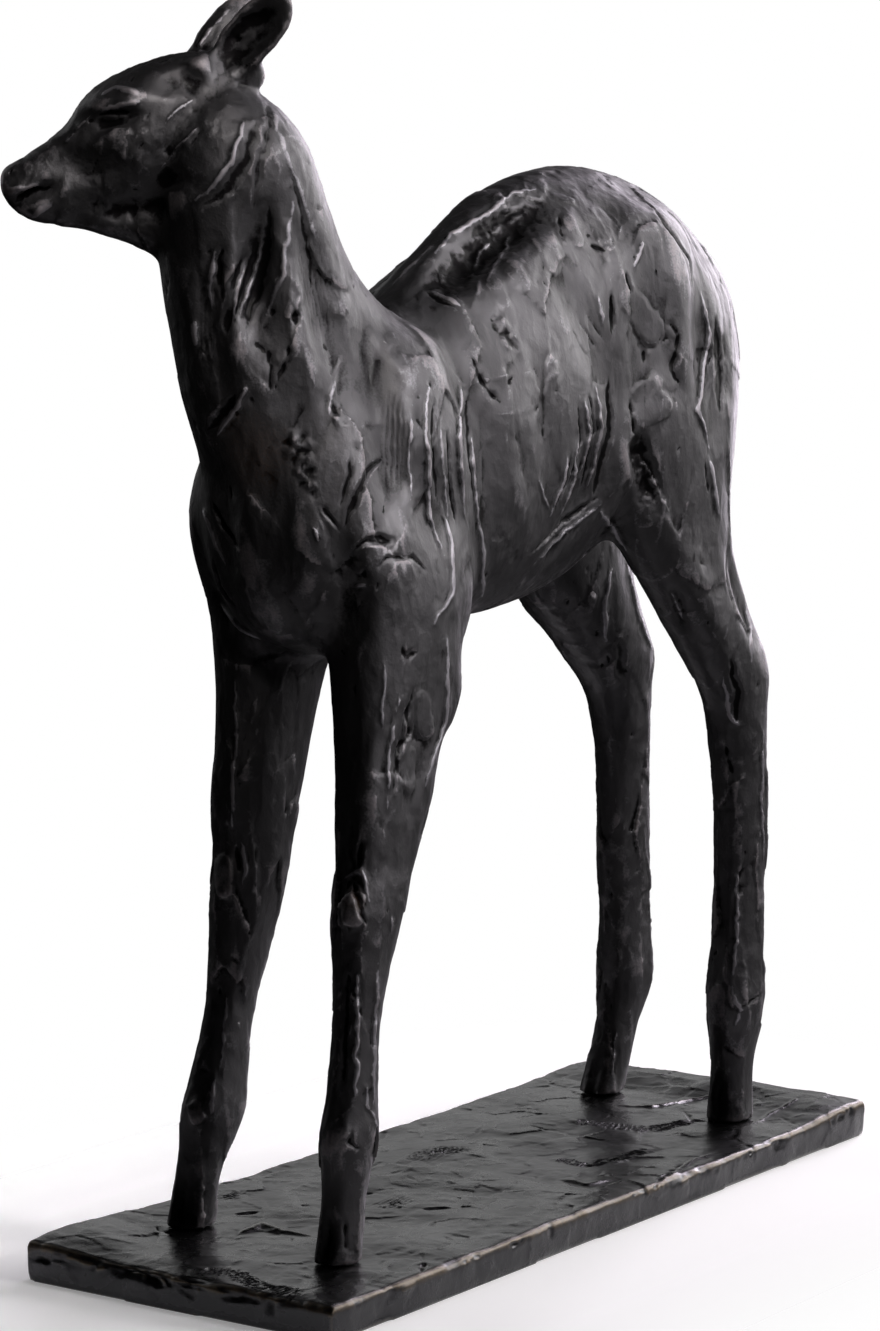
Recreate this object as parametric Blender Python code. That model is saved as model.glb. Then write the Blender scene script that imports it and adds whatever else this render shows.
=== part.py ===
"""A modelled deer standing on its own cast slab, both of bronze.

The deer faces -X and turns its head to its right, +Y. The origin is the middle of the
slab's underside. Everything on the figure is given in parts of its own height, measured
up from the slab's top, so the whole figure follows FIGURE_HEIGHT.
"""
import math

import bmesh
import bpy
import numpy as np
from mathutils import Matrix, Vector

# Sizes in metres
FIGURE_HEIGHT = 0.609
HEIGHT_IN_PARTS = 609.0
PART = FIGURE_HEIGHT / HEIGHT_IN_PARTS
SLAB_LENGTH = 0.505
SLAB_WIDTH = 0.191
SLAB_THICKNESS = 0.017
SLAB_CORNER = 0.004
SLAB_EDGE = 0.0022
SLAB_WAVER = 0.0004
SLAB_CELLS = (34, 13)
SEAT_GAP = 0.0003
CLAY_GRAIN = FIGURE_HEIGHT / 290
FIGURE_TRIANGLES = 8200
BLEND_PASSES = 150
LEAST_BLEND = 0.06

# Trunk: along, top, underline, half width, and how much wider its top is than its foot
TRUNK = (
    (-192, 376, 336, 14, 0.0),
    (-184, 404, 316, 32, 0.0),
    (-164, 432, 294, 46, 0.05),
    (-128, 447, 286, 52, 0.05),
    (-88, 455, 287, 53, -0.02),
    (-45, 484, 294, 54, -0.06),
    (0, 509, 298, 56, -0.08),
    (45, 521, 304, 55, -0.05),
    (88, 525, 322, 52, 0.0),
    (128, 519, 352, 49, 0.0),
    (163, 502, 380, 45, 0.0),
    (188, 475, 405, 31, 0.0),
    (196, 452, 425, 12, 0.0),
)
# Neck: along, aside, up, half depth, half width, turn to the right in degrees
NECK = (
    (-100, 0, 365, 74, 45, 0),
    (-129, 3, 400, 70, 44, 6),
    (-154.5, 7, 435, 57.5, 40, 12),
    (-168, 10, 468, 49, 34, 21),
    (-178, 12, 500, 42.5, 31, 31),
    (-187, 14, 528, 37, 29, 40),
    (-200, 24, 550, 23, 19, 46),
)
# Skull: back from the nose, above the axis, half height, half width
HEAD_TURN = 47.0
HEAD_DROP = 16.0
NOSE = (-254, 97, 516)
SKULL = (
    (-1.5, -1.5, 5, 6),
    (2.5, -2.5, 11.5, 10),
    (12, -5.5, 16, 11.5),
    (25, -5.5, 20.5, 12.5),
    (38, -4.5, 25, 15),
    (48, 0, 29.5, 20),
    (58, 2.5, 31, 24),
    (74, 5, 32, 25.5),
    (91, 6, 32.5, 24.5),
    (105, 7, 30, 23),
    (118, 9, 23, 19),
    (128, 10, 12, 11),
)
# Ear: share of its length, half width, depth of its cup
EAR_LENGTH = 52
EAR_WALL = 4.6
EAR_STAGGER = 10
EAR = (
    (0.0, 9, 7.5),
    (0.2, 12.5, 10.5),
    (0.45, 13.8, 11),
    (0.7, 12.5, 9),
    (0.88, 9, 6),
    (1.0, 4, 3),
)
# The knob behind the ears: behind the nose, to the side, above the axis
NAPE_KNOB = (128, 8, 18)
# Throat below the skull, given the same way
THROAT = (
    (27, -21, 6, 8),
    (40, -25, 11, 11),
    (52, -28.5, 16, 13.5),
    (62, -30, 21.5, 15.5),
    (78, -24, 26, 18),
    (95, -10, 26, 18),
)
# Fore legs: up, half depth, half width, the same for both
FORE_GIRTH = (
    (372, 44, 20),
    (330, 47, 25),
    (295, 42, 25),
    (270, 36.5, 23),
    (243, 32, 20.5),
    (214, 28.5, 18.5),
    (190, 22.5, 15.5),
    (176, 20.5, 16),
    (160, 20, 15),
    (140, 15.5, 12.6),
    (112, 13, 10.6),
    (86, 13, 10.6),
    (70, 15, 11.6),
    (58, 17.5, 13),
    (46, 14.5, 11.6),
    (28, 11.5, 10),
    (8, 13, 11),
    (-6, 14, 11.5),
)
# Each leg's own line: up, along, aside, and how full it is against the shared girth
FORE_LEFT = (
    (372, -112, -30, 1.0),
    (330, -117, -36, 1.0),
    (272, -125, -38, 1.0),
    (214, -138, -41, 1.0),
    (172, -151.5, -42.5, 1.0),
    (115, -164.5, -44.6, 1.0),
    (58, -174.5, -47, 1.0),
    (28, -180, -48, 1.0),
    (-6, -188, -49, 1.0),
)
FORE_RIGHT = (
    (372, -112, 30, 1.0),
    (330, -117, 35, 1.0),
    (268, -127, 36, 0.9),
    (214, -134.5, 39, 0.95),
    (176, -137, 41.5, 1.04),
    (116, -147, 45.5, 1.08),
    (57, -159.5, 49, 1.07),
    (28, -168.5, 50.6, 1.0),
    (-6, -175, 52.2, 1.0),
)
# Hind legs: up, half depth, half width
HIND_GIRTH = (
    (492, 38, 18),
    (462, 62, 29),
    (420, 73, 31.5),
    (382, 66, 30),
    (345, 54, 26),
    (313, 45, 21.5),
    (278, 35.5, 18.5),
    (250, 30, 17),
    (232, 21.5, 15.5),
    (210, 18.5, 14),
    (180, 17.8, 13.2),
    (140, 17, 12.8),
    (105, 16.6, 12.6),
    (84, 18, 13.4),
    (69, 19.8, 14.4),
    (54, 16.6, 13),
    (38, 12.8, 11),
    (20, 12.4, 10.8),
    (4, 13.6, 11.6),
    (-6, 14.4, 12),
)
HIND_LEFT = (
    (492, 112, -20, 1.0),
    (462, 115, -29, 0.98),
    (420, 118, -34, 0.95),
    (382, 117.5, -37, 0.96),
    (345, 119.5, -41, 0.93),
    (313, 132.5, -44, 0.92),
    (278, 154.5, -48, 0.97),
    (245, 175.5, -50, 0.96),
    (205, 182.5, -50, 1.0),
    (155, 186.5, -50, 1.0),
    (105, 184, -50, 1.0),
    (69, 183.5, -50, 1.0),
    (38, 180, -50, 1.0),
    (-6, 177, -50, 1.0),
)
HIND_RIGHT = (
    (492, 112, 20, 1.0),
    (462, 115, 29, 0.98),
    (420, 118, 34, 0.95),
    (382, 120, 37, 1.0),
    (345, 129, 40, 1.03),
    (313, 146, 40, 1.13),
    (285, 163, 40, 1.18),
    (248, 194.5, 41, 1.1),
    (205, 207.5, 42, 1.02),
    (155, 211, 42.5, 1.0),
    (105, 212.5, 43, 1.0),
    (66, 215, 43, 1.0),
    (38, 205.5, 43, 1.0),
    (-6, 187, 43, 1.0),
)
# Tail: along, up, half depth, half width
TAIL = (
    (176, 474, 14, 11),
    (190, 460, 11, 12),
    (197, 442, 8.5, 11.5),
    (199, 422, 7.5, 10),
    (196, 404, 6, 7.5),
    (193, 394, 3, 4),
)
# Muscles: middle, half sizes, pitch in degrees about the side axis
MUSCLES = (
    ((-112, -33, 386), (46, 24, 66), 16),
    ((-112, 33, 386), (46, 24, 66), 16),
    ((-142, -34, 345), (32, 26, 44), 0),
    ((-145, 38, 352), (32, 26, 50), 0),
    ((-98, -40, 322), (32, 19, 40), -14),
    ((-98, 40, 322), (32, 19, 40), -14),
    ((-104.5, -42, 277), (23, 17, 40), 8),
    ((-138, -45, 322), (22, 15, 25), 0),
    ((-138, 45, 322), (22, 15, 25), 0),
    ((100, -33, 458), (54, 28, 50), 0),
    ((100, 33, 458), (54, 28, 50), 0),
    ((158, -28, 424), (38, 28, 62), 0),
    ((158, 28, 424), (38, 28, 62), 0),
)

# Carving: a path of points, its radius and its depth, raised where the depth is negative
BOTH_SIDES = (
    # The hollow of the loin beside the spine
    (((-66, -18, 462), (-30, -22, 480), (8, -23, 497), (42, -22, 508)), 21, 8.5),
    # Behind the shoulder and before it
    (((-92, -26, 455), (-78, -52, 413), (-68, -54, 378), (-64, -48, 325)), 21, 4.5),
    (((-140, -28, 452), (-143, -43, 414), (-143, -52, 381), (-160, -54, 340)), 15, 4.0),
    # The grooves inside the shoulder's point
    (((-173, -40, 352), (-168, -44, 326), (-160, -36, 296)), 15, 4.5),
    # The flank before the thigh, and the belly drawn up to it
    (((34, -54, 385), (24, -52, 352), (10, -40, 318)), 24, 6.0),
    (((58, -56, 400), (58, -54, 366), (52, -44, 330)), 15, -4.0),
    # Planes of the haunch
    (((122, -60, 452), (128, -64, 415), (130, -62, 378)), 22, 4.5),
    (((2, -38, 488), (30, -54, 440), (46, -56, 396)), 20, 3.5),
    (((88, -48, 492), (76, -58, 446), (70, -60, 400)), 19, 3.0),
    (((60, -44, 500), (56, -56, 460), (56, -58, 420)), 16, -2.5),
    (((102, -46, 494), (104, -60, 452), (98, -64, 405)), 16, -3.0),
    # Between the thigh's bone and its cord
    (((150, -62, 318), (164, -64, 292), (182, -60, 262)), 14, 5.0),
    (((100, -56, 330), (122, -60, 300), (146, -60, 266)), 14, -3.0),
    # The fore leg's outer planes
    (((-124, -60, 292), (-132, -60, 250), (-142, -57, 205)), 14, 3.5),
    (((-158, -54, 292), (-162, -52, 250), (-166, -50, 200)), 12, -1.6),
    # The breast between the shoulders
    (((-192, -16, 384), (-186, -16, 345), (-172, -14, 306)), 15, 3.0),
    # Ribs
    (((-44, -52, 428), (-38, -55, 380), (-30, -48, 330)), 15, -2.0),
    (((-20, -54, 440), (-14, -57, 390), (-8, -50, 335)), 15, 2.4),
)
NEAR_SIDE = (
    # Gouges down the neck
    (((-195, -12, 508), (-198, -12, 472), (-196, -14, 432)), 13, 6.0),
    (((-174, -20, 500), (-167, -28, 456), (-154, -34, 410)), 13, 3.5),
    (((-213, 4, 490), (-213, 6, 449), (-207, 0, 400)), 13, 4.0),
    (((-186, -18, 500), (-182, -22, 450), (-174, -28, 404)), 10, -3.0),
    # Knees
    (((-171, -46, 182), (-172, -46, 174), (-171, -46, 160)), 14, -3.5),
    (((-156, 38, 186), (-157, 36, 176), (-156, 36, 164)), 14, -2.5),
    # Clefts of the hooves
    (((-203, -49, -8), (-197, -48.5, 10), (-191, -48, 26)), 6, 4.0),
    (((-190, 52, -8), (-185, 51.5, 10), (-179, 51, 26)), 6, 4.0),
    (((161, -50, -8), (164, -50, 10), (167, -50, 26)), 6, 4.0),
    (((172, 43, -8), (178, 43, 10), (187, 43, 26)), 6, 4.0),
)
# Carving of the head in its own directions: behind the nose, to the side, above the axis
HEAD_SIDES = (
    # Brow, lid and the slit below it
    (((48, 18, 26), (62, 23, 28), (77, 22, 23)), 9, -4.5),
    (((52, 23, 20), (62, 25, 22), (73, 25, 17.5)), 4.6, -2.0),
    (((51, 22, 16.5), (61, 24.5, 16), (72, 25, 15.5)), 6, 4.2),
    (((42, 16, 12), (50, 20, 15), (56, 22, 17)), 8, 3.0),
    # Nostril and mouth
    (((1.5, 8, 4), (4, 9.5, 4), (7, 10.5, 2)), 5, 3.6),
    (((-2, 3, -9), (5, 10, -8), (13, 11.5, -7.2), (25, 13, -5)), 4.6, 4.4),
    (((4, 9, -15), (14, 11, -14), (26, 12.5, -12)), 6, -2.0),
    # Cheek, jaw and the hollow behind it
    (((28, 13, 4), (44, 18, -3), (60, 21, -8)), 12, 3.0),
    (((121, 17, 4), (112, 20, -11), (94, 21, -27)), 9, -4.5),
    (((128, 14, -2), (119, 18, -20), (102, 18, -40)), 11, 5.0),
    (((96, 19, -36), (68, 15, -30), (40, 11, -25)), 9, 4.0),
    # Temple below the ear
    (((82, 22, 26), (94, 23, 24), (104, 22, 18)), 10, 2.6),
)
# Swells and hollows of the slab's top: along and aside, half sizes and height, as shares
# of the slab's half length, half width and thickness
SLAB_FORM = (
    (-0.87, 0.89, 0.20, 0.335, 0.27),
    (-0.935, 0.0, 0.07, 0.84, 0.06),
    (0.943, -0.21, 0.087, 0.63, 0.295),
    (0.935, 0.63, 0.095, 0.42, 0.13),
    (0.91, -0.84, 0.12, 0.23, 0.176),
    (0.20, 0.89, 0.356, 0.314, -0.094),
    (0.24, -0.16, 0.24, 0.314, -0.106),
    (-0.32, -0.16, 0.20, 0.314, -0.082),
    (-0.475, 0.73, 0.16, 0.21, -0.06),
    (0.475, 0.31, 0.12, 0.314, 0.06),
    (-0.08, 0.42, 0.16, 0.314, 0.07),
    (-0.04, -0.785, 0.24, 0.19, 0.082),
    (0.435, -0.84, 0.16, 0.147, -0.082),
)
# How far the slab stays level round a hoof, and how far it takes to reach its own form
SEAT_MARGIN = 0.0065
SEAT_EASE = 0.020


def smooth_rows(rows, steps):
    """Rows filled in between with a curve that passes through each of them."""
    known = np.array(rows, float)
    padded = np.vstack([2 * known[0] - known[1], known, 2 * known[-1] - known[-2]])
    filled = []
    for before, start, end, after in zip(padded, padded[1:], padded[2:], padded[3:]):
        for step in range(steps):
            t = step / steps
            filled.append(
                0.5 * (2 * start + (end - before) * t
                       + (2 * before - 5 * start + 4 * end - after) * t ** 2
                       + (3 * start - before - 3 * end + after) * t ** 3)
            )
    filled.append(known[-1])
    return np.array(filled)


def add_rings(bm, rings):
    """A closed skin over rings of points that all have the same count."""
    loops = [[bm.verts.new(Vector(point)) for point in ring] for ring in rings]
    count = len(loops[0])
    for lower, upper in zip(loops, loops[1:]):
        for i in range(count):
            j = (i + 1) % count
            bm.faces.new((lower[i], lower[j], upper[j], upper[i]))
    bm.faces.new(loops[0][::-1])
    bm.faces.new(loops[-1])


def oval(middle, depth_way, width_way, depth, width, lean=0.0, square=2.2, count=40):
    """A ring of points about a middle, nearer a box than an ellipse as square grows."""
    points = []
    for i in range(count):
        angle = 2 * math.pi * i / count
        along = math.copysign(abs(math.cos(angle)) ** (2 / square), math.cos(angle))
        aside = math.copysign(abs(math.sin(angle)) ** (2 / square), math.sin(angle))
        points.append(
            middle + depth_way * (depth * along) + width_way * (width * aside * (1 + lean * along))
        )
    return points


def add_trunk(bm):
    """Ribs, loin and croup as upright sections along the slab."""
    rings = []
    for along, top, foot, half, lean in smooth_rows(TRUNK, 5):
        middle = np.array((along, 0, (top + foot) / 2))
        rings.append(oval(middle, np.array((0, 0, 1)), np.array((0, 1, 0)), (top - foot) / 2, half, lean))
    add_rings(bm, rings)


def add_neck(bm):
    """The neck, square to its own run, turning as it rises."""
    rows = smooth_rows(NECK, 5)
    run = np.gradient(rows[:, :3], axis=0)
    rings = []
    for row, way in zip(rows, run):
        way = way / np.linalg.norm(way)
        turn = math.radians(row[5])
        facing = np.array((-math.cos(turn), math.sin(turn), 0))
        facing = facing - way * facing.dot(way)
        facing = facing / np.linalg.norm(facing)
        rings.append(oval(row[:3], facing, np.cross(way, facing), row[3], row[4]))
    add_rings(bm, rings)


def head_axes():
    """The head's back, left and up directions."""
    turn = math.radians(HEAD_TURN)
    drop = math.radians(HEAD_DROP)
    level_back = np.array((math.cos(turn), -math.sin(turn), 0))
    left = np.array((-math.sin(turn), -math.cos(turn), 0))
    back = level_back * math.cos(drop) + np.array((0, 0, math.sin(drop)))
    up = np.array((0, 0, math.cos(drop))) - level_back * math.sin(drop)
    return back, left, up


def on_head(back, left, up):
    """A point on the head from its distances behind, left of and above the nose."""
    back_way, left_way, up_way = head_axes()
    return np.array(NOSE) + back_way * back + left_way * left + up_way * up


def add_head(bm):
    """The skull and the throat as sections square to the head's own axis."""
    _, left, up = head_axes()
    for rows in (SKULL, THROAT):
        rings = []
        for back, above, height, width in smooth_rows(rows, 5):
            rings.append(oval(on_head(back, 0, above), up, left, height, width))
        add_rings(bm, rings)


def add_ear(bm, root, tip, opening):
    """A leaf shaped cup from its root to its tip, opening one way."""
    way = tip - root
    way = way / np.linalg.norm(way)
    opening = opening - way * opening.dot(way)
    opening = opening / np.linalg.norm(opening)
    across = np.cross(way, opening)
    rings = []
    for share, half, cup in smooth_rows(EAR, 4):
        middle = root + way * (share * EAR_LENGTH)
        outer = []
        inner = []
        for i in range(13):
            angle = math.pi * i / 12
            outer.append(middle + across * (half * math.cos(angle)) - opening * (cup * math.sin(angle)))
            inner.append(
                middle + across * ((half - EAR_WALL) * math.cos(angle))
                - opening * ((cup - EAR_WALL) * math.sin(angle) - EAR_WALL * 0.3)
            )
        rings.append(outer + inner[::-1])
    add_rings(bm, rings)


def add_leg(bm, girth, line):
    """A leg as level sections, its girth and its line each given by height."""
    girth_rows = smooth_rows(girth, 4)
    line_rows = smooth_rows(line, 6)[::-1]
    rings = []
    for up, depth, width in girth_rows:
        along, aside, full = (np.interp(up, line_rows[:, 0], line_rows[:, i]) for i in (1, 2, 3))
        middle = np.array((along, aside, up))
        ways = (np.array((1, 0, 0)), np.array((0, 1, 0)))
        rings.append(oval(middle, *ways, depth * full, width * full, square=2.35))
    add_rings(bm, rings)


def add_tail(bm):
    """The short tail laid down the rump."""
    rings = []
    for along, up, depth, width in smooth_rows(TAIL, 4):
        rings.append(oval(np.array((along, 0, up)), np.array((1, 0, 0)), np.array((0, 1, 0)), depth, width))
    add_rings(bm, rings)


def add_muscle(bm, middle, sizes, pitch):
    """An egg of clay laid on the figure."""
    place = (Matrix.Translation(middle) @ Matrix.Rotation(math.radians(pitch), 4, "Y")
             @ Matrix.Diagonal((*sizes, 1)))
    bmesh.ops.create_icosphere(bm, subdivisions=3, radius=1, matrix=place)


def rough_figure():
    """Every mass of the figure in one mesh, still overlapping, in parts."""
    bm = bmesh.new()
    add_trunk(bm)
    add_neck(bm)
    add_head(bm)
    back, left, up = head_axes()
    for side, forward in ((1, 0), (-1, EAR_STAGGER)):
        root = on_head(113.5 - forward, 15 * side, 25)
        tip = on_head(153 - forward, 25 * side, 49 + forward * 0.4)
        add_ear(bm, root, tip, left * side * 0.95 - back * 0.35 + up * 0.05)
        add_muscle(bm, on_head(107 - forward, 14 * side, 27.5), (10, 7, 8), 0)
    for line in (FORE_LEFT, FORE_RIGHT):
        add_leg(bm, FORE_GIRTH, line)
    for line in (HIND_LEFT, HIND_RIGHT):
        add_leg(bm, HIND_GIRTH, line)
    add_tail(bm)
    add_muscle(bm, on_head(*NAPE_KNOB), (7, 8, 8), 0)
    for middle, sizes, pitch in MUSCLES:
        add_muscle(bm, middle, sizes, pitch)
    bmesh.ops.recalc_face_normals(bm, faces=bm.faces)
    mesh = bpy.data.meshes.new("deer")
    bm.to_mesh(mesh)
    bm.free()
    return mesh


def ramp(value, low, high):
    """A share that eases from nothing at the low value to all at the high one."""
    share = np.clip((value - low) / (high - low), 0, 1)
    return share * share * (3 - 2 * share)


def points_of(obj):
    """The object's vertices as an array of rows."""
    flat = np.empty(len(obj.data.vertices) * 3)
    obj.data.vertices.foreach_get("co", flat)
    return flat.reshape(-1, 3)


def figure_parts(obj):
    """The vertices in parts of the figure, up from the slab's top."""
    return (points_of(obj) - (0, 0, SLAB_THICKNESS + SEAT_GAP)) / PART


def mark_flesh(obj):
    """A vertex group that is full on the trunk and slight on the legs and the head."""
    parts = figure_parts(obj)
    flesh = ramp(parts[:, 2], 236, 330)
    flesh = flesh * ramp(np.linalg.norm(parts - on_head(80, 0, 8), axis=1), 72, 120)
    share = LEAST_BLEND + (1 - LEAST_BLEND) * flesh
    group = obj.vertex_groups.new(name="flesh")
    for step in range(20):
        low = step / 20
        chosen = np.flatnonzero((share >= low) & (share < low + 0.05 + 1e-9))
        group.add(chosen.tolist(), float(low + 0.025), "REPLACE")
    return group.name


def press(points, normals, path, radius, depth):
    """The points pushed in along a path, deepest at its middle and easing off all round."""
    path = np.array(path, float)
    spans = np.linalg.norm(np.diff(path, axis=0), axis=1)
    starts = np.concatenate(([0], np.cumsum(spans))) / spans.sum()
    nearest = np.full(len(points), np.inf)
    place = np.zeros(len(points))
    for start, end, first, last in zip(path, path[1:], starts, starts[1:]):
        run = end - start
        share = np.clip((points - start) @ run / run.dot(run), 0, 1)
        gap = np.linalg.norm(points - start - share[:, None] * run, axis=1)
        closer = gap < nearest
        nearest = np.where(closer, gap, nearest)
        place = np.where(closer, first + share * (last - first), place)
    taper = 1 - 0.75 * np.abs(2 * place - 1) ** 2.5
    fall = np.clip(1 - (nearest / (radius * (0.55 + 0.45 * taper))) ** 2, 0, 1) ** 2
    return points - normals * (depth * taper * fall)[:, None]


def carve(obj):
    """Every groove, hollow and ridge worked into the figure."""
    strokes = list(NEAR_SIDE)
    for side in (1, -1):
        for path, radius, depth in BOTH_SIDES:
            strokes.append(([(x, y * side, z) for x, y, z in path], radius, depth))
        for path, radius, depth in HEAD_SIDES:
            strokes.append(([on_head(back, aside * side, up) for back, aside, up in path], radius, depth))
    points = figure_parts(obj)
    flat = np.empty(points.size)
    obj.data.vertices.foreach_get("normal", flat)
    normals = flat.reshape(-1, 3)
    for path, radius, depth in strokes:
        points = press(points, normals, path, radius, depth)
    placed = points * PART + (0, 0, SLAB_THICKNESS + SEAT_GAP)
    obj.data.vertices.foreach_set("co", placed.ravel())
    obj.data.update()


def apply_modifiers(obj):
    """The object's modifiers made part of its mesh."""
    graph = bpy.context.evaluated_depsgraph_get()
    mesh = bpy.data.meshes.new_from_object(obj.evaluated_get(graph))
    obj.modifiers.clear()
    obj.data = mesh


def bronze(name, colour, roughness):
    """A plain dark metal for one piece."""
    material = bpy.data.materials.new(name)
    material.use_nodes = True
    shader = material.node_tree.nodes["Principled BSDF"]
    shader.inputs["Base Color"].default_value = (*colour, 1)
    shader.inputs["Metallic"].default_value = 1
    shader.inputs["Roughness"].default_value = roughness
    return material


def build_deer():
    """The figure: its masses run together, smoothed and faceted as one casting."""
    deer = bpy.data.objects.new("deer", rough_figure())
    bpy.context.scene.collection.objects.link(deer)
    place = Matrix.Translation((0, 0, SLAB_THICKNESS + SEAT_GAP)) @ Matrix.Scale(PART, 4)
    deer.data.transform(place)
    knit = deer.modifiers.new("knit", "REMESH")
    knit.mode = "VOXEL"
    knit.voxel_size = CLAY_GRAIN
    apply_modifiers(deer)
    blend = deer.modifiers.new("blend", "SMOOTH")
    blend.vertex_group = mark_flesh(deer)
    blend.factor = 0.5
    blend.iterations = BLEND_PASSES
    apply_modifiers(deer)
    carve(deer)
    facet = deer.modifiers.new("facet", "DECIMATE")
    facet.ratio = FIGURE_TRIANGLES / (2 * len(deer.data.polygons))
    apply_modifiers(deer)
    bm = bmesh.new()
    bm.from_mesh(deer.data)
    sole = SLAB_THICKNESS + SEAT_GAP
    cut = bmesh.ops.bisect_plane(
        bm, geom=bm.verts[:] + bm.edges[:] + bm.faces[:], dist=1e-6,
        plane_co=(0, 0, sole), plane_no=(0, 0, -1), clear_outer=True,
    )
    rims = [item for item in cut["geom_cut"] if isinstance(item, bmesh.types.BMEdge)]
    bmesh.ops.holes_fill(bm, edges=rims, sides=0)
    bmesh.ops.recalc_face_normals(bm, faces=bm.faces)
    bm.to_mesh(deer.data)
    bm.free()
    deer.data.shade_smooth()
    deer.data.set_sharp_from_angle(angle=math.radians(70))
    deer.data.materials.append(bronze("deer_bronze", (0.045, 0.040, 0.038), 0.42))
    return deer


def seats():
    """Where the four hooves stand on the slab."""
    return [np.array(line[-1][1:3]) * PART for line in (FORE_LEFT, FORE_RIGHT, HIND_LEFT, HIND_RIGHT)]


def slab_height(along, aside):
    """The slab's top at a place, level where a hoof stands."""
    place = np.array((along, aside))
    u, v = place / (SLAB_LENGTH / 2, SLAB_WIDTH / 2)
    swell = 0.0
    for x, y, half_x, half_y, rise in SLAB_FORM:
        swell += rise * math.exp(-((u - x) / half_x) ** 2 - ((v - y) / half_y) ** 2)
    near = min(np.linalg.norm(place - seat) for seat in seats())
    level = max(FORE_GIRTH[-1][1], HIND_GIRTH[-1][1]) * PART + SEAT_MARGIN
    return SLAB_THICKNESS * (1 + swell * float(ramp(near, level, level + SEAT_EASE)))


def slab_outline(u, v, inset):
    """A place on the slab from two shares of its half sizes, with soft uneven edges."""
    half = np.array((SLAB_LENGTH, SLAB_WIDTH)) / 2 - inset
    place = np.array((u, v)) * half
    past = np.abs(place) - (half - SLAB_CORNER)
    if min(past) > 0:
        reach = past / np.linalg.norm(past) * max(past)
        place = np.sign(place) * (half - SLAB_CORNER + reach)
    waver = math.sin(7.8 * u + 3 * v) + 0.75 * math.sin(19 * u + 0.9 * v)
    sway = math.sin(5 * v + 2 * u)
    return place - SLAB_WAVER * np.array((u ** 7 * (1 + sway), v ** 7 * (1.75 + waver)))


def build_slab():
    """The slab, worked by hand on top and flat beneath."""
    bm = bmesh.new()
    grid = []
    for j in range(SLAB_CELLS[1] + 1):
        row = []
        for i in range(SLAB_CELLS[0] + 1):
            u = 2 * i / SLAB_CELLS[0] - 1
            v = 2 * j / SLAB_CELLS[1] - 1
            x, y = slab_outline(u, v, SLAB_EDGE)
            row.append((bm.verts.new((x, y, slab_height(x, y))), u, v))
        grid.append(row)
    for lower, upper in zip(grid, grid[1:]):
        for i in range(SLAB_CELLS[0]):
            bm.faces.new((lower[i][0], lower[i + 1][0], upper[i + 1][0], upper[i][0]))
    rim = grid[0][:-1] + [row[-1] for row in grid[:-1]] + grid[-1][:0:-1] + [row[0] for row in grid[:0:-1]]
    upper = [vert for vert, _, _ in rim]
    for inset, drop in ((SLAB_EDGE * 0.3, SLAB_EDGE * 0.45), (0.0, SLAB_EDGE * 1.3), (SLAB_WAVER, None)):
        lower = []
        for vert, u, v in rim:
            x, y = slab_outline(u, v, inset)
            lower.append(bm.verts.new((x, y, 0 if drop is None else vert.co.z - drop)))
        for i, vert in enumerate(upper):
            j = (i + 1) % len(upper)
            bm.faces.new((vert, lower[i], lower[j], upper[j]))
        upper = lower
    bm.faces.new(upper[::-1])
    bmesh.ops.recalc_face_normals(bm, faces=bm.faces)
    mesh = bpy.data.meshes.new("slab")
    bm.to_mesh(mesh)
    bm.free()
    slab = bpy.data.objects.new("slab", mesh)
    bpy.context.scene.collection.objects.link(slab)
    slab.data.shade_smooth()
    slab.data.set_sharp_from_angle(angle=math.radians(40))
    slab.data.materials.append(bronze("slab_bronze", (0.050, 0.044, 0.040), 0.36))
    return slab


def main():
    """Clears the scene and builds the two castings."""
    for obj in list(bpy.data.objects):
        bpy.data.objects.remove(obj)
    build_deer()
    build_slab()


main()
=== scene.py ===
"""The looks of a modelled deer cast in bronze, standing on its own hand-worked bronze slab.

The castings keep the form of the solids. Each is knitted into a fine skin, and the maker's
touches are worked into it: strokes of the thumb, gouges, ridges, crumbs of clay and rake marks.
Touches that the photograph shows are placed by its pixels, through the camera that took it.
"""
import logging
import math
from dataclasses import dataclass
from enum import Enum

import bmesh
import bpy
import numpy as np
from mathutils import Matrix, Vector, noise
from mathutils.bvhtree import BVHTree
from mathutils.kdtree import KDTree


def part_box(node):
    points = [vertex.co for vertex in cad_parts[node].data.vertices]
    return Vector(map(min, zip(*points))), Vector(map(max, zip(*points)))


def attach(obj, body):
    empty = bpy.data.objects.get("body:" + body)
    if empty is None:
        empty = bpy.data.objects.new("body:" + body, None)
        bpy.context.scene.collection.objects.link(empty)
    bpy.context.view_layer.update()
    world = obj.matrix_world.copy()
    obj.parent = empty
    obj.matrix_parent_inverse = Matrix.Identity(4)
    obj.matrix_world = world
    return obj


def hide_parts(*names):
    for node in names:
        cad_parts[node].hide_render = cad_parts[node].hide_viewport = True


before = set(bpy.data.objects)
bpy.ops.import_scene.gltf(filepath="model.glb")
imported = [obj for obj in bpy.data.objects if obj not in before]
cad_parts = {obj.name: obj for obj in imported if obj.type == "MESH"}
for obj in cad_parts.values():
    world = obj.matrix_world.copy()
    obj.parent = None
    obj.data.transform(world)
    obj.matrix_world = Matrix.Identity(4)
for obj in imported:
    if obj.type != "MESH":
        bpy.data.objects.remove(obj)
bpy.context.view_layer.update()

MM = 0.001
PHOTO_WIDTH = 880
PHOTO_HEIGHT = 1331
SEED = 7
noise.seed_set(SEED)

Tree = bpy.types.NodeTree
Socket = bpy.types.NodeSocket
Pixels = tuple[tuple[float, float], ...]
Waves = tuple[tuple[float, float, float], ...]
Spans = tuple[tuple[float, float], tuple[float, float], tuple[float, float]]
Spot = tuple[float, float, float]

logging.basicConfig(level=logging.INFO, format="%(message)s")
LOG = logging.getLogger("deer")


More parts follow.
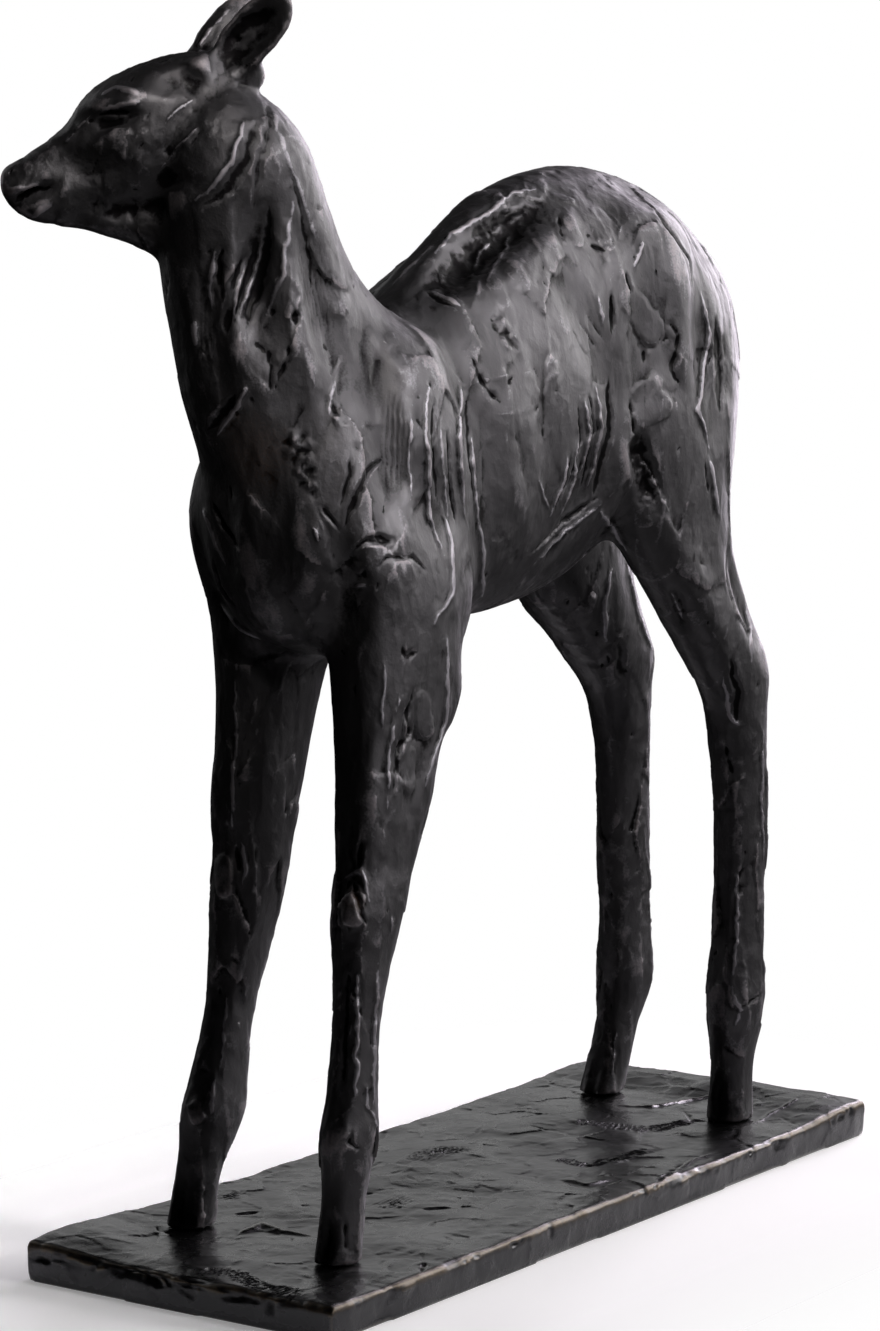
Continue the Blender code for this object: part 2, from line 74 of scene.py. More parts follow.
def linear(code: str) -> tuple[float, float, float, float]:
    """A colour for the shaders from its sRGB hex code.

    Args:
        code: Six hex digits, with or without a hash before them.

    Returns:
        Red, green and blue as linear light, and an alpha of one.
    """
    parts = [int(code.lstrip("#")[i:i + 2], 16) / 255 for i in (0, 2, 4)]
    light = [c / 12.92 if c <= 0.04045 else ((c + 0.055) / 1.055) ** 2.4 for c in parts]
    return (*light, 1.0)


def add_node(tree: Tree, kind: str, settings: dict | None = None,
             links: dict | None = None) -> bpy.types.Node:
    """Adds one node with its settings and what feeds it.

    Args:
        tree: The node tree to add to.
        kind: Blender's name of the node's type.
        settings: Values by socket name, or by the node's own setting where it has one.
        links: An output socket for each input, by the input's name or number.

    Returns:
        The new node.
    """
    node = tree.nodes.new(kind)
    for name, value in (settings or {}).items():
        if isinstance(name, str) and hasattr(node, name):
            setattr(node, name, value)
        else:
            node.inputs[name].default_value = value
    for name, socket in (links or {}).items():
        tree.links.new(socket, node.inputs[name])
    return node


def ranged(tree: Tree, value: Socket, low: float, high: float, least: float, most: float) -> Socket:
    """Turns a value from low to high into one from least to most, and no further."""
    settings = {"From Min": low, "From Max": high, "To Min": least, "To Max": most}
    return add_node(tree, "ShaderNodeMapRange", settings, {"Value": value}).outputs["Result"]


def reckoned(tree: Tree, operation: str, *terms: Socket | float) -> Socket:
    """Reckons with sockets and plain numbers.

    Args:
        tree: The node tree to add to.
        operation: Blender's name of the reckoning.
        terms: What goes into it, in order.

    Returns:
        The socket with the result.
    """
    settings = {place: term for place, term in enumerate(terms) if isinstance(term, float)}
    links = {place: term for place, term in enumerate(terms) if not isinstance(term, float)}
    return add_node(tree, "ShaderNodeMath", {"operation": operation} | settings, links).outputs[0]


def marked(tree: Tree, name: str) -> Socket:
    """The number of that name that a casting keeps at each vertex."""
    return add_node(tree, "ShaderNodeAttribute", {"attribute_name": name}).outputs["Fac"]


def mixed(tree: Tree, share: Socket, under: Socket, code: str) -> Socket:
    """Lays the colour of a hex code over another colour, by a share."""
    settings = {"data_type": "RGBA", 7: linear(code)}
    return add_node(tree, "ShaderNodeMix", settings, {0: share, 6: under}).outputs[2]


def grained(tree: Tree, place: Socket, size_mm: float, detail: float,
            roughness: float = 0.5, kind: str = "FBM") -> bpy.types.Node:
    """A noise whose grain has a real size."""
    settings = {"noise_type": kind, "Scale": 1 / (size_mm * MM), "Detail": detail, "Roughness": roughness}
    return add_node(tree, "ShaderNodeTexNoise", settings, {"Vector": place})


def ease(value: np.ndarray, low: float, high: float) -> np.ndarray:
    """A share that eases from nothing at low to all at high."""
    share = np.clip((value - low) / (high - low), 0, 1)
    return share * share * (3 - 2 * share)


@dataclass(frozen=True)
class PhotoCamera:
    """The camera that took the photograph, found from the slab's corners and the hooves."""

    place: tuple[float, float, float] = (-1.75272, -1.21058, 0.55555)
    target: tuple[float, float, float] = (-0.03087, 0.0, 0.28815)
    lens_px: float = 4142.0
    sensor_mm: float = 36.0

    def ways(self) -> tuple[Vector, Vector, Vector]:
        """The camera's forward, right and up directions."""
        forward = (Vector(self.target) - Vector(self.place)).normalized()
        right = forward.cross(Vector((0, 0, 1))).normalized()
        return forward, right, right.cross(forward)

    def ray(self, pixel: tuple[float, float]) -> tuple[Vector, Vector]:
        """The line of sight through a pixel of the photograph.

        Args:
            pixel: Across and down from the photograph's top left corner.

        Returns:
            Where the line starts, and its direction.
        """
        forward, right, up = self.ways()
        across = (pixel[0] - PHOTO_WIDTH / 2) / self.lens_px
        down = (pixel[1] - PHOTO_HEIGHT / 2) / self.lens_px
        return Vector(self.place), (forward + right * across - up * down).normalized()

    def build(self) -> bpy.types.Object:
        """Makes the camera and looks through it."""
        camera = bpy.data.objects.new("camera", bpy.data.cameras.new("camera"))
        bpy.context.scene.collection.objects.link(camera)
        camera.location = self.place
        camera.rotation_euler = self.ways()[0].to_track_quat("-Z", "Y").to_euler()
        camera.data.sensor_width = self.sensor_mm
        camera.data.lens = self.lens_px * self.sensor_mm / PHOTO_HEIGHT
        camera.data.clip_end = 100
        bpy.context.scene.camera = camera
        return camera


@dataclass(frozen=True)
class SoftBox:
    """A square soft light, placed from the figure by its direction."""

    name: str
    turn: float
    rise: float
    away: float
    size: tuple[float, float]
    watts: float
    colour: str = "FFFFFF"
    spread: float = 180.0
    aim: tuple[float, float, float] = (0.0, 0.0, 0.33)

    def build(self) -> None:
        """Hangs the light and points it at its aim."""
        turn, rise = math.radians(self.turn), math.radians(self.rise)
        way = Vector((math.sin(turn) * math.cos(rise), -math.cos(turn) * math.cos(rise), math.sin(rise)))
        data = bpy.data.lights.new(self.name, "AREA")
        data.shape = "RECTANGLE"
        data.size, data.size_y = self.size
        data.energy = self.watts
        data.color = linear(self.colour)[:3]
        data.spread = math.radians(self.spread)
        lamp = bpy.data.objects.new(self.name, data)
        lamp.location = Vector(self.aim) + way * self.away
        lamp.rotation_euler = (-way).to_track_quat("-Z", "Y").to_euler()
        bpy.context.scene.collection.objects.link(lamp)


@dataclass
class Studio:
    """A plain pale floor that fades into a pale backdrop, under soft lights."""

    floor_half: tuple[float, float] = (0.2525, 0.0955)
    floor_full: float = 0.03
    floor_reach: float = 0.20
    floor_hex: str = "F4F3F4"
    floor_glow: float = 0.28
    backdrop: float = 1.0
    surround: float = 0.006
    lights: tuple[SoftBox, ...] = (
        SoftBox("key_side", 62, 21, 2.4, (1.7, 1.4), 65, "FFFCFC"),
        SoftBox("neck_fill", 8, 24, 1.9, (0.6, 0.6), 1.3, "FFFCFC", 15, (-0.10, -0.05, 0.44)),
        SoftBox("key_top", 70, 62, 2.2, (1.2, 0.9), 2.5, "FCFAFF"),
        SoftBox("rim_back", 97, 16, 2.2, (0.5, 1.8), 34, "F8EEFB"),
        SoftBox("rim_left", 176, 22, 2.4, (0.5, 1.6), 6.5),
        SoftBox("head_fill", -35, 36, 1.4, (0.5, 0.4), 0.45, "FFFAF5", 14, (-0.19, 0.02, 0.57)),
        SoftBox("slab_sheen", 126, 8, 2.6, (2.2, 0.9), 3.7),
    )

    def build_floor(self) -> bpy.types.Object:
        """The floor: a pale sheet that thins to nothing a little way out from the slab."""
        bpy.ops.mesh.primitive_plane_add(size=2 * (self.floor_half[0] + self.floor_reach))
        floor = bpy.context.active_object
        floor.name = "floor"
        material = bpy.data.materials.new("pale_painted_board")
        material.use_nodes = True
        tree = material.node_tree
        tree.nodes.clear()
        place = add_node(tree, "ShaderNodeNewGeometry")
        folded = add_node(tree, "ShaderNodeVectorMath", {"operation": "ABSOLUTE"},
                          {0: place.outputs["Position"]})
        past = add_node(tree, "ShaderNodeVectorMath", {"operation": "SUBTRACT", 1: (*self.floor_half, 0)},
                        {0: folded.outputs["Vector"]})
        outside = add_node(tree, "ShaderNodeVectorMath", {"operation": "MAXIMUM", 1: (0, 0, 0)},
                           {0: past.outputs["Vector"]})
        away = add_node(tree, "ShaderNodeVectorMath", {"operation": "LENGTH"},
                        {0: outside.outputs["Vector"]})
        fade = add_node(
            tree, "ShaderNodeMapRange",
            {"interpolation_type": "SMOOTHSTEP", "From Min": self.floor_full, "From Max": self.floor_reach,
             "To Min": 0.0, "To Max": 1.0},
            {"Value": away.outputs["Value"]},
        )
        matt = add_node(tree, "ShaderNodeBsdfDiffuse", {"Color": linear(self.floor_hex)})
        glow = add_node(tree, "ShaderNodeEmission",
                        {"Color": linear(self.floor_hex), "Strength": self.floor_glow})
        lit = add_node(tree, "ShaderNodeAddShader", None, {0: matt.outputs[0], 1: glow.outputs[0]})
        clear = add_node(tree, "ShaderNodeBsdfTransparent")
        thin = add_node(tree, "ShaderNodeMixShader", None,
                        {0: fade.outputs["Result"], 1: lit.outputs[0], 2: clear.outputs[0]})
        add_node(tree, "ShaderNodeOutputMaterial", None, {"Surface": thin.outputs[0]})
        floor.data.materials.append(material)
        return floor

    def build_world(self) -> None:
        """The room: pale where it is looked at, dim where it is mirrored in the bronze."""
        world = bpy.data.worlds.new("studio")
        bpy.context.scene.world = world
        world.use_nodes = True
        tree = world.node_tree
        tree.nodes.clear()
        path = add_node(tree, "ShaderNodeLightPath")
        seen = add_node(tree, "ShaderNodeBackground", {"Color": (1, 1, 1, 1), "Strength": self.backdrop})
        room = add_node(tree, "ShaderNodeBackground", {"Color": (1, 1, 1, 1), "Strength": self.surround})
        both = add_node(tree, "ShaderNodeMixShader", None,
                        {0: path.outputs["Is Camera Ray"], 1: room.outputs[0], 2: seen.outputs[0]})
        add_node(tree, "ShaderNodeOutputWorld", None, {"Surface": both.outputs[0]})

    def build(self) -> None:
        """Sets up the floor, the room and the lights."""
        self.build_floor()
        self.build_world()
        for light in self.lights:
            light.build()
        bpy.context.scene.view_settings.view_transform = "Standard"


@dataclass(frozen=True)
class Patina:
    """Cast bronze, darkened with a liver of sulphur patina and waxed.

    The patina gives the eye a near-black metal with a soft grey sheen. It stays thick and dull
    in the hollows, and rubs through to warm brown bronze on what stands proud. Its colour also
    holds painted light: hollows darkened further as painted shade, ridge lines made paler as a
    painted highlight, and a few warm patches as a painted reflection.
    """

    name: str
    ground: str
    hollow: str
    proud: str
    rubbed: str
    rough: float
    rough_hollow: float
    wax: float
    wax_rough: float = 0.28
    blotch_mm: float = 38.0
    grain_mm: float = 1.3
    grain_deep_mm: float = 0.24
    pore_mm: float = 0.7
    pore_deep_mm: float = 0.12
    dab_mm: float = 9.0
    dab_long: float = 2.6
    dab_deep_mm: float = 0.5
    drag_deep_mm: float = 0.4
    rubbed_share: float = 0.35
    rubbed_dulls: float = 0.4
    pool_and_shade_weight: float = 1.6
    painted_highlight_weight: float = 1.5

    def colour(self, tree: Tree, blotch: Socket, grain: Socket, ridge: Socket, warm: Socket) -> Socket:
        """The patina's colour: black in hollows, paler on crests and brown where it is rubbed.

        The black is partly painted shade, the paler ridge lines a painted highlight, and some brown a
        painted warm reflection.

        Args:
            tree: The material's nodes.
            blotch: Broad unevenness.
            grain: Fine unevenness.
            ridge: How far the skin stands proud.
            warm: How far it is rubbed, and where a warm reflection is painted.

        Returns:
            The socket with the colour.
        """
        shade = ranged(tree, blotch, 0.35, 0.68, 0.0, 0.22)
        ground = add_node(tree, "ShaderNodeMix",
                          {"data_type": "RGBA", 6: linear(self.ground), 7: linear(self.hollow)}, {0: shade})
        ragged = ranged(tree, grain, 0.3, 0.7, -0.2, 0.2)
        # Cut hollows and cracks are darkened: patina pooled in them, and painted shade.
        dip = reckoned(tree, "MULTIPLY_ADD", marked(tree, "pooled_patina_and_shade"), self.pool_and_shade_weight, ragged)
        low = ranged(tree, reckoned(tree, "SUBTRACT", dip, ridge), 0.35, 1.15, 0.0, 1.0)
        # Ridge lines are made paler: a painted highlight, on top of the rubbed crests.
        crest_and_highlight = reckoned(tree, "MULTIPLY_ADD", marked(tree, "lit"), self.painted_highlight_weight, ridge)
        high = ranged(tree, reckoned(tree, "ADD", crest_and_highlight, ragged), 0.9, 1.8, 0.0, 1.0)
        worn = ranged(tree, reckoned(tree, "MULTIPLY", warm, grain), 0.12, 0.55, 0.0, self.rubbed_share)
        pooled_patina_and_shade = mixed(tree, low, ground.outputs[2], self.hollow)
        return mixed(tree, worn, mixed(tree, high, pooled_patina_and_shade, self.proud), self.rubbed)

    def roughness(self, tree: Tree, blotch: Socket, ridge: Socket, warm: Socket) -> Socket:
        """The patina's roughness: dull in hollows and where it is rubbed, and smoother on crests.

        Args:
            tree: The material's nodes.
            blotch: Broad unevenness.
            ridge: How far the skin stands proud.
            warm: How far it is rubbed, and where a warm reflection is painted.

        Returns:
            The socket with the roughness.
        """
        even = ranged(tree, ridge, -0.8, 1.0, self.rough_hollow, self.rough)
        uneven = reckoned(tree, "ADD", even, ranged(tree, blotch, 0.3, 0.7, -0.05, 0.07))
        return reckoned(tree, "MULTIPLY_ADD", warm, self.rubbed_dulls, uneven)

    def relief(self, tree: Tree, place: Socket, grain: Socket) -> Socket:
        """The finest touches: flat dabs, the drag lines on them, the metal's grain and its pores.

        Args:
            tree: The material's nodes.
            place: The place on the piece, in metres.
            grain: Fine unevenness.

        Returns:
            The socket with the bent normal.
        """
        stretch = add_node(tree, "ShaderNodeVectorMath",
                           {"operation": "MULTIPLY", 1: (1.0, 1.0, 1 / self.dab_long)}, {0: place})
        drift = grained(tree, place, self.dab_mm * 1.6, 2.0)
        warp = add_node(tree, "ShaderNodeVectorMath",
                        {"operation": "MULTIPLY_ADD", 1: (self.dab_mm * 1.2 * MM,) * 3},
                        {0: drift.outputs["Color"], 2: stretch.outputs["Vector"]}).outputs["Vector"]
        dabs = add_node(tree, "ShaderNodeTexVoronoi", {"Scale": 1 / (self.dab_mm * MM)}, {"Vector": warp})
        drags = grained(tree, warp, self.dab_mm * 0.7, 3.0, 0.55, "RIDGED_MULTIFRACTAL")
        pores = add_node(tree, "ShaderNodeTexVoronoi", {"Scale": 1 / (self.pore_mm * 4 * MM)},
                         {"Vector": place})
        worked = marked(tree, "worked")
        planes = add_node(tree, "ShaderNodeBump", {"Distance": self.dab_deep_mm * MM},
                          {"Height": dabs.outputs["Distance"], "Strength": worked})
        lines = add_node(tree, "ShaderNodeBump", {"Distance": self.drag_deep_mm * MM},
                         {"Height": drags.outputs["Fac"], "Strength": worked,
                          "Normal": planes.outputs["Normal"]})
        skin = add_node(tree, "ShaderNodeBump", {"Strength": 0.5, "Distance": self.grain_deep_mm * MM},
                        {"Height": grain, "Normal": lines.outputs["Normal"]})
        pits = add_node(tree, "ShaderNodeBump", {"Strength": 0.25, "Distance": self.pore_deep_mm * MM},
                        {"Height": ranged(tree, pores.outputs["Distance"], 0.0, 0.22, 0.0, 1.0),
                         "Normal": skin.outputs["Normal"]})
        return pits.outputs["Normal"]

    def build(self) -> bpy.types.Material:
        """Makes the material's nodes."""
        material = bpy.data.materials.new(self.name)
        material.use_nodes = True
        tree = material.node_tree
        shader = tree.nodes["Principled BSDF"]
        shader.inputs["Metallic"].default_value = 1.0
        shader.inputs["Coat Weight"].default_value = self.wax
        shader.inputs["Coat Roughness"].default_value = self.wax_rough
        place = add_node(tree, "ShaderNodeTexCoord").outputs["Object"]
        blotch = grained(tree, place, self.blotch_mm, 4.0, 0.55).outputs["Fac"]
        grain = grained(tree, place, self.grain_mm, 3.0, 0.6).outputs["Fac"]
        ridge, warm = marked(tree, "proud"), marked(tree, "rubbed")
        tree.links.new(self.colour(tree, blotch, grain, ridge, warm), shader.inputs["Base Color"])
        tree.links.new(self.roughness(tree, blotch, ridge, warm), shader.inputs["Roughness"])
        tree.links.new(self.relief(tree, place, grain), shader.inputs["Normal"])
        return material


class Touch(Enum):
    """What the maker's hand or tool does to the clay."""

    HOLLOW = "a soft hollow"
    RIDGE = "a soft raised line"
    GOUGE = "a cut with a raised lip"
    CRACK = "a narrow dark split"
    THUMB = "a pad dragged on by the thumb, ending in a lip"
    PAD = "a flat pellet pressed on"
    CRUMB = "torn clay left rough"
    DRAG = "fine grooves along the stroke"
    RIBS = "rake marks across the stroke"


HOLLOW, RIDGE, GOUGE, CRACK, THUMB, PAD, CRUMB, DRAG, RIBS = Touch
WIDE_TOUCHES = (HOLLOW, THUMB, PAD, CRUMB, DRAG, RIBS)
# How deep each touch must be for its darkening to be full: patina pooled there, and painted shade.
SUNK_TOUCHES = {CRACK: 1.2 * MM, GOUGE: 2.6 * MM, HOLLOW: 7.0 * MM, CRUMB: 4.0 * MM}


@dataclass(frozen=True)
class Stroke:
    """One touch along a path of the photograph's pixels, with its half width and depth."""

    touch: Touch
    path: Pixels
    half_mm: float
    depth_mm: float


def strokes(*rows: tuple) -> tuple[Stroke, ...]:
    """Strokes from rows of a touch, its half width, its depth and the pixels of its path."""
    return tuple(Stroke(touch, tuple(path), half, depth) for touch, half, depth, *path in rows)


@dataclass(frozen=True)
class Dabs:
    """Flat dabs of clay laid side by side, each a little tilted.

    Each has a width, a length as so many widths upwards, and a step above the next. The tilt is a
    slope, flat says how far a dab is pressed to a plane, from 0 to 1, and seed sets where they fall.
    """

    wide_mm: float
    long: float
    step_mm: float
    tilt: float
    flat: float
    seed: int
    area: float = 0.42
    most_press_mm: float = 0.9
    most_lean_mm: float = 0.5


class Relief:
    """Heights worked into a skin along its own normals."""

    def __init__(self, points: np.ndarray, normals: np.ndarray) -> None:
        """Keeps the skin in order of height, so that a touch looks only at what is near.

        Args:
            points: The skin's vertices, in metres.
            normals: Their normals.
        """
        self.order = np.argsort(points[:, 2], kind="stable")
        self.points = points[self.order]
        self.normals = normals[self.order]
        self.levels = self.points[:, 2]
        self.heights = np.zeros(len(points))
        self.pooled_patina_and_shade = np.zeros(len(points))
        self.lit = np.zeros(len(points))
        wander = [noise.noise_vector(p) for p in (self.points / (10 * MM)).tolist()]
        shiver = [noise.noise_vector(p) for p in (self.points / (3.6 * MM) + 5).tolist()]
        self.bent = self.points + np.array(wander) * 1.3 * MM + np.array(shiver) * 0.7 * MM

    def near(self, path: np.ndarray, reach: float) -> np.ndarray:
        """The vertices in the box round a path."""
        low, high = path.min(0) - reach, path.max(0) + reach
        first, last = np.searchsorted(self.levels, (low[2], high[2]))
        spot = self.points[first:last, :2]
        inside = np.all((spot > low[:2]) & (spot < high[:2]), axis=1)
        return first + np.flatnonzero(inside)

    def work(self, touch: Touch, path: np.ndarray, outward: np.ndarray, half: float, depth: float) -> None:
        """Works one touch into the skin.

        Args:
            touch: The kind of touch.
            path: Points on the skin along the touch.
            outward: The skin's direction there.
            half: Half the touch's width, in metres.
            depth: How deep or high it is, in metres.
        """
        chosen = self.near(path, half * 1.8)
        if len(chosen) == 0:
            return
        points = self.bent[chosen]
        if len(path) == 1:
            path = np.vstack([path, path + 1e-6])
        spans = np.linalg.norm(np.diff(path, axis=0), axis=1)
        starts = np.concatenate(([0], np.cumsum(spans)))
        gap = np.full(len(points), np.inf)
        along = np.zeros(len(points))
        side = np.zeros(len(points))
        for i, (start, end) in enumerate(zip(path, path[1:])):
            run = end - start
            share = np.clip((points - start) @ run / run.dot(run), 0, 1)
            off = points - start - share[:, None] * run
            away = np.linalg.norm(off, axis=1)
            closer = away < gap
            across = np.cross(outward, run / np.linalg.norm(run))
            gap = np.where(closer, away, gap)
            along = np.where(closer, starts[i] + share * spans[i], along)
            side = np.where(closer, off @ across, side)
        facing = np.clip((self.normals[chosen] @ outward) * 2, 0, 1)
        share = along / max(starts[-1], 1e-9)
        thin = 1.0 if touch in WIDE_TOUCHES else 1 - 0.65 * np.abs(2 * share - 1) ** 2.5
        gap = gap / (half * thin)
        self.heights[chosen] += self.profile(touch, gap, share, along, side, points) * depth * facing
        core = np.clip(1 - 1.8 * gap * gap, 0, 1) * facing
        # Cuts, cracks and hollows are marked to be painted darker: patina pooled in them, and painted
        # shade.
        if touch in SUNK_TOUCHES:
            self.pooled_patina_and_shade[chosen] = np.maximum(self.pooled_patina_and_shade[chosen], core * min(1.0, depth / SUNK_TOUCHES[touch]))
        # Raised lines are marked to be painted paler: a painted highlight along each ridge.
        if touch is RIDGE:
            self.lit[chosen] = np.maximum(self.lit[chosen], core * min(1.0, depth / (1.5 * MM)))

    def profile(self, touch: Touch, gap: np.ndarray, share: np.ndarray, along: np.ndarray,
                side: np.ndarray, points: np.ndarray) -> np.ndarray:
        """The height of a touch, as a share of its depth.

        Args:
            touch: The kind of touch.
            gap: How far each vertex is from the path, in half widths.
            share: How far along the path it is, from 0 to 1.
            along: The same in metres.
            side: How far to the side of the path it is, in metres.
            points: The vertices themselves.

        Returns:
            One height for each vertex.
        """
        taper = 1 - 0.8 * np.abs(2 * share - 1) ** 3
        soft = np.clip(1 - gap ** 2, 0, 1) ** 2
        if touch is HOLLOW:
            return -soft * taper
        if touch is RIDGE:
            return soft * taper
        if touch is GOUGE:
            lip = 0.16 * np.exp(-((gap - 1.2) / 0.3) ** 2)
            return (lip - 0.8 * np.clip((1 - gap) * 1.5, 0, 1)) * taper
        if touch is CRACK:
            return -np.clip((1 - gap) * 1.4, 0, 1) * (0.6 + 0.4 * np.sin(along / (1.7 * MM))) * taper
        if touch is THUMB:
            rise = share * share
            dish = 0.7 + 0.3 * np.clip(gap, 0, 1) ** 2
            return rise * dish * (1 - ease(gap, 0.7, 1.15))
        if touch is PAD:
            return (0.5 + 0.5 * share) * (1 - ease(gap, 0.78, 1.1))
        if touch is DRAG:
            wave = np.sin(2 * math.pi * side / (2.6 * MM) + 1.6 * np.sin(along / (9 * MM)))
            return wave * np.clip(1 - gap ** 2, 0, 1) * (1 - np.abs(2 * share - 1) ** 2)
        if touch is RIBS:
            wave = np.cos(2 * math.pi * along / (2.5 * MM) + side / (4 * MM))
            return wave * np.clip(1 - gap ** 4, 0, 1)
        rough = np.array([noise.fractal(Vector(p) / (6.5 * MM), 0.9, 2.3, 2) for p in points])
        return rough * np.clip(1 - gap ** 2, 0, 1) ** 0.6

    def dabbed(self, dabs: Dabs) -> np.ndarray:
        """The heights of dabs laid over all of the skin.

        Args:
            dabs: Their size, lean and seed.

        Returns:
            One height for each vertex.
        """
        chance = np.random.default_rng(dabs.seed)
        squeeze = np.array((1.0, 1.0, 1 / dabs.long))
        count = round(dabs.area / (dabs.wide_mm * dabs.wide_mm * dabs.long * MM * MM))
        spots = chance.choice(len(self.points), count, replace=False)
        middles = self.points[spots]
        finder = KDTree(count)
        for index, middle in enumerate(middles * squeeze):
            finder.insert(middle, index)
        finder.balance()
        nearest = np.array([finder.find(p)[1] for p in (self.bent * squeeze).tolist()])
        lean = chance.normal(0, dabs.tilt, (count, 3)) * squeeze ** 2
        lift = chance.normal(0, dabs.step_mm * MM, count)
        away = self.bent - middles[nearest]
        facing = self.normals[spots][nearest]
        agree = np.clip((facing * self.normals).sum(1), 0, 1)
        most_press, most_lean = dabs.most_press_mm * MM, dabs.most_lean_mm * MM
        press = np.clip(-dabs.flat * (away * facing).sum(1), -most_press, most_press) * agree
        return press + np.clip(lift[nearest] + (away * lean[nearest]).sum(1), -most_lean, most_lean)

    def uneven(self, sizes: Waves, offset: float) -> np.ndarray:
        """The heights of a gentle unevenness over all of the skin.

        Args:
            sizes: A wave's width, its length upwards and its height, all in millimetres.
            offset: Moves the pattern, so that two castings differ.

        Returns:
            One height for each vertex.
        """
        shift = np.array((offset, offset * 0.7, offset * 1.3))
        heights = np.zeros(len(self.points))
        for wide_mm, long_mm, height_mm in sizes:
            scaled = self.points / (np.array((wide_mm, wide_mm, long_mm)) * MM) + shift
            heights += np.array([noise.noise(p) for p in scaled.tolist()]) * height_mm * MM
        return heights

    def restored(self, rows: np.ndarray) -> np.ndarray:
        """The same rows in the mesh's own order."""
        out = np.empty_like(rows)
        out[self.order] = rows
        return out

    def result(self) -> np.ndarray:
        """The worked vertices, in the mesh's own order."""
        return self.restored(self.points + self.normals * self.heights[:, None])


@dataclass
class Casting:
    """One bronze casting: a fine skin over its solid, worked by hand."""

    node: str
    slot: str
    grain_mm: float
    triangles: int
    even_passes: int
    patina: Patina
    camera: PhotoCamera
    strokes: tuple[Stroke, ...]
    level_passes: int = 10
    proud_mm: float = 0.55

    def fine_skin(self) -> bpy.types.Object:
        """Knits the solid into small even faces and eases its facets away."""
        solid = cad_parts[self.node]
        bm = bmesh.new()
        bm.from_mesh(solid.data)
        bmesh.ops.remove_doubles(bm, verts=bm.verts, dist=1e-6)
        mesh = bpy.data.meshes.new(f"{self.node}_casting")
        bm.to_mesh(mesh)
        bm.free()
        skin = bpy.data.objects.new(f"{self.node}_casting", mesh)
        bpy.context.scene.collection.objects.link(skin)
        self.soften(skin)
        knit = skin.modifiers.new("knit", "REMESH")
        knit.mode = "VOXEL"
        knit.voxel_size = self.grain_mm * MM
        even = skin.modifiers.new("even", "SMOOTH")
        even.factor = 0.5
        even.iterations = self.even_passes
        self.apply(skin)
        return skin

    def soften(self, skin: bpy.types.Object) -> None:
        """Rounds the facets of the solid, where the casting has them rounded."""

    @staticmethod
    def apply(skin: bpy.types.Object) -> None:
        """Makes the modifiers part of the mesh."""
        graph = bpy.context.evaluated_depsgraph_get()
        mesh = bpy.data.meshes.new_from_object(skin.evaluated_get(graph))
        skin.modifiers.clear()
        skin.data = mesh

    def arrays(self, mesh: bpy.types.Mesh) -> tuple[np.ndarray, np.ndarray]:
        """The mesh's vertices and their normals as arrays of rows."""
        points = np.empty(len(mesh.vertices) * 3, np.float32)
        normals = np.empty(len(mesh.vertices) * 3, np.float32)
        mesh.vertices.foreach_get("co", points)
        mesh.vertices.foreach_get("normal", normals)
        return points.reshape(-1, 3).astype(float), normals.reshape(-1, 3).astype(float)

    def trace(self, tree: BVHTree, pixels: Pixels) -> tuple[np.ndarray, np.ndarray]:
        """Lays a path of the photograph's pixels on the skin.

        Args:
            tree: The skin, ready to be hit by lines of sight.
            pixels: The path in the photograph.

        Returns:
            Points on the skin, and the direction that the skin faces there.
        """
        steps = [pixels[0]]
        for (x0, y0), (x1, y1) in zip(pixels, pixels[1:]):
            count = max(1, round(math.hypot(x1 - x0, y1 - y0) / 7))
            steps += [(x0 + (x1 - x0) * k / count, y0 + (y1 - y0) * k / count) for k in range(1, count + 1)]
        hits = [tree.ray_cast(*self.camera.ray(pixel)) for pixel in steps]
        hits = [(place, normal) for place, normal, index, _ in hits if index is not None]
        if not hits:
            return np.zeros((0, 3)), np.zeros(3)
        outward = sum((normal for _, normal in hits), Vector()).normalized()
        return np.array([place for place, _ in hits]), np.array(outward)

    def work(self, relief: Relief, tree: BVHTree) -> None:
        """Works this casting's own touches into its skin."""

    def work_strokes(self, relief: Relief, tree: BVHTree) -> None:
        """Works in the touches that the photograph shows."""
        for stroke in self.strokes:
            path, outward = self.trace(tree, stroke.path)
            if len(path):
                relief.work(stroke.touch, path, outward, stroke.half_mm * MM, stroke.depth_mm * MM)

    def thin_out(self, skin: bpy.types.Object) -> None:
        """Leaves small faces only where the skin needs them."""
        facet = skin.modifiers.new("facet", "DECIMATE")
        facet.ratio = min(1.0, self.triangles / (2 * len(skin.data.polygons)))
        self.apply(skin)

    def mark(self, skin: bpy.types.Object) -> None:
        """Writes how far each vertex stands proud of what lies round it, and where it is rubbed."""
        mesh = skin.data
        points, normals = self.arrays(mesh)
        edges = np.empty(len(mesh.edges) * 2, int)
        mesh.edges.foreach_get("vertices", edges)
        one, two = edges.reshape(-1, 2).T
        count = np.bincount(np.concatenate((one, two)), minlength=len(points))
        smooth = points.copy()
        for _ in range(self.level_passes):
            total = np.zeros_like(smooth)
            for axis in range(3):
                total[:, axis] = (np.bincount(one, smooth[two, axis], len(points))
                                  + np.bincount(two, smooth[one, axis], len(points)))
            smooth = 0.3 * smooth + 0.7 * total / count[:, None]
        proud = np.clip(((points - smooth) * normals).sum(1) / (self.proud_mm * MM), -1.5, 1.5)
        self.write(mesh, "proud", proud)
        self.write(mesh, "rubbed", self.rubbed(points, normals, proud))
        self.write(mesh, "worked", self.worked(points))

    @staticmethod
    def place(skin: bpy.types.Object, points: np.ndarray) -> None:
        """Puts the skin's vertices where the rows say."""
        skin.data.vertices.foreach_set("co", points.astype(np.float32).ravel())
        skin.data.update()

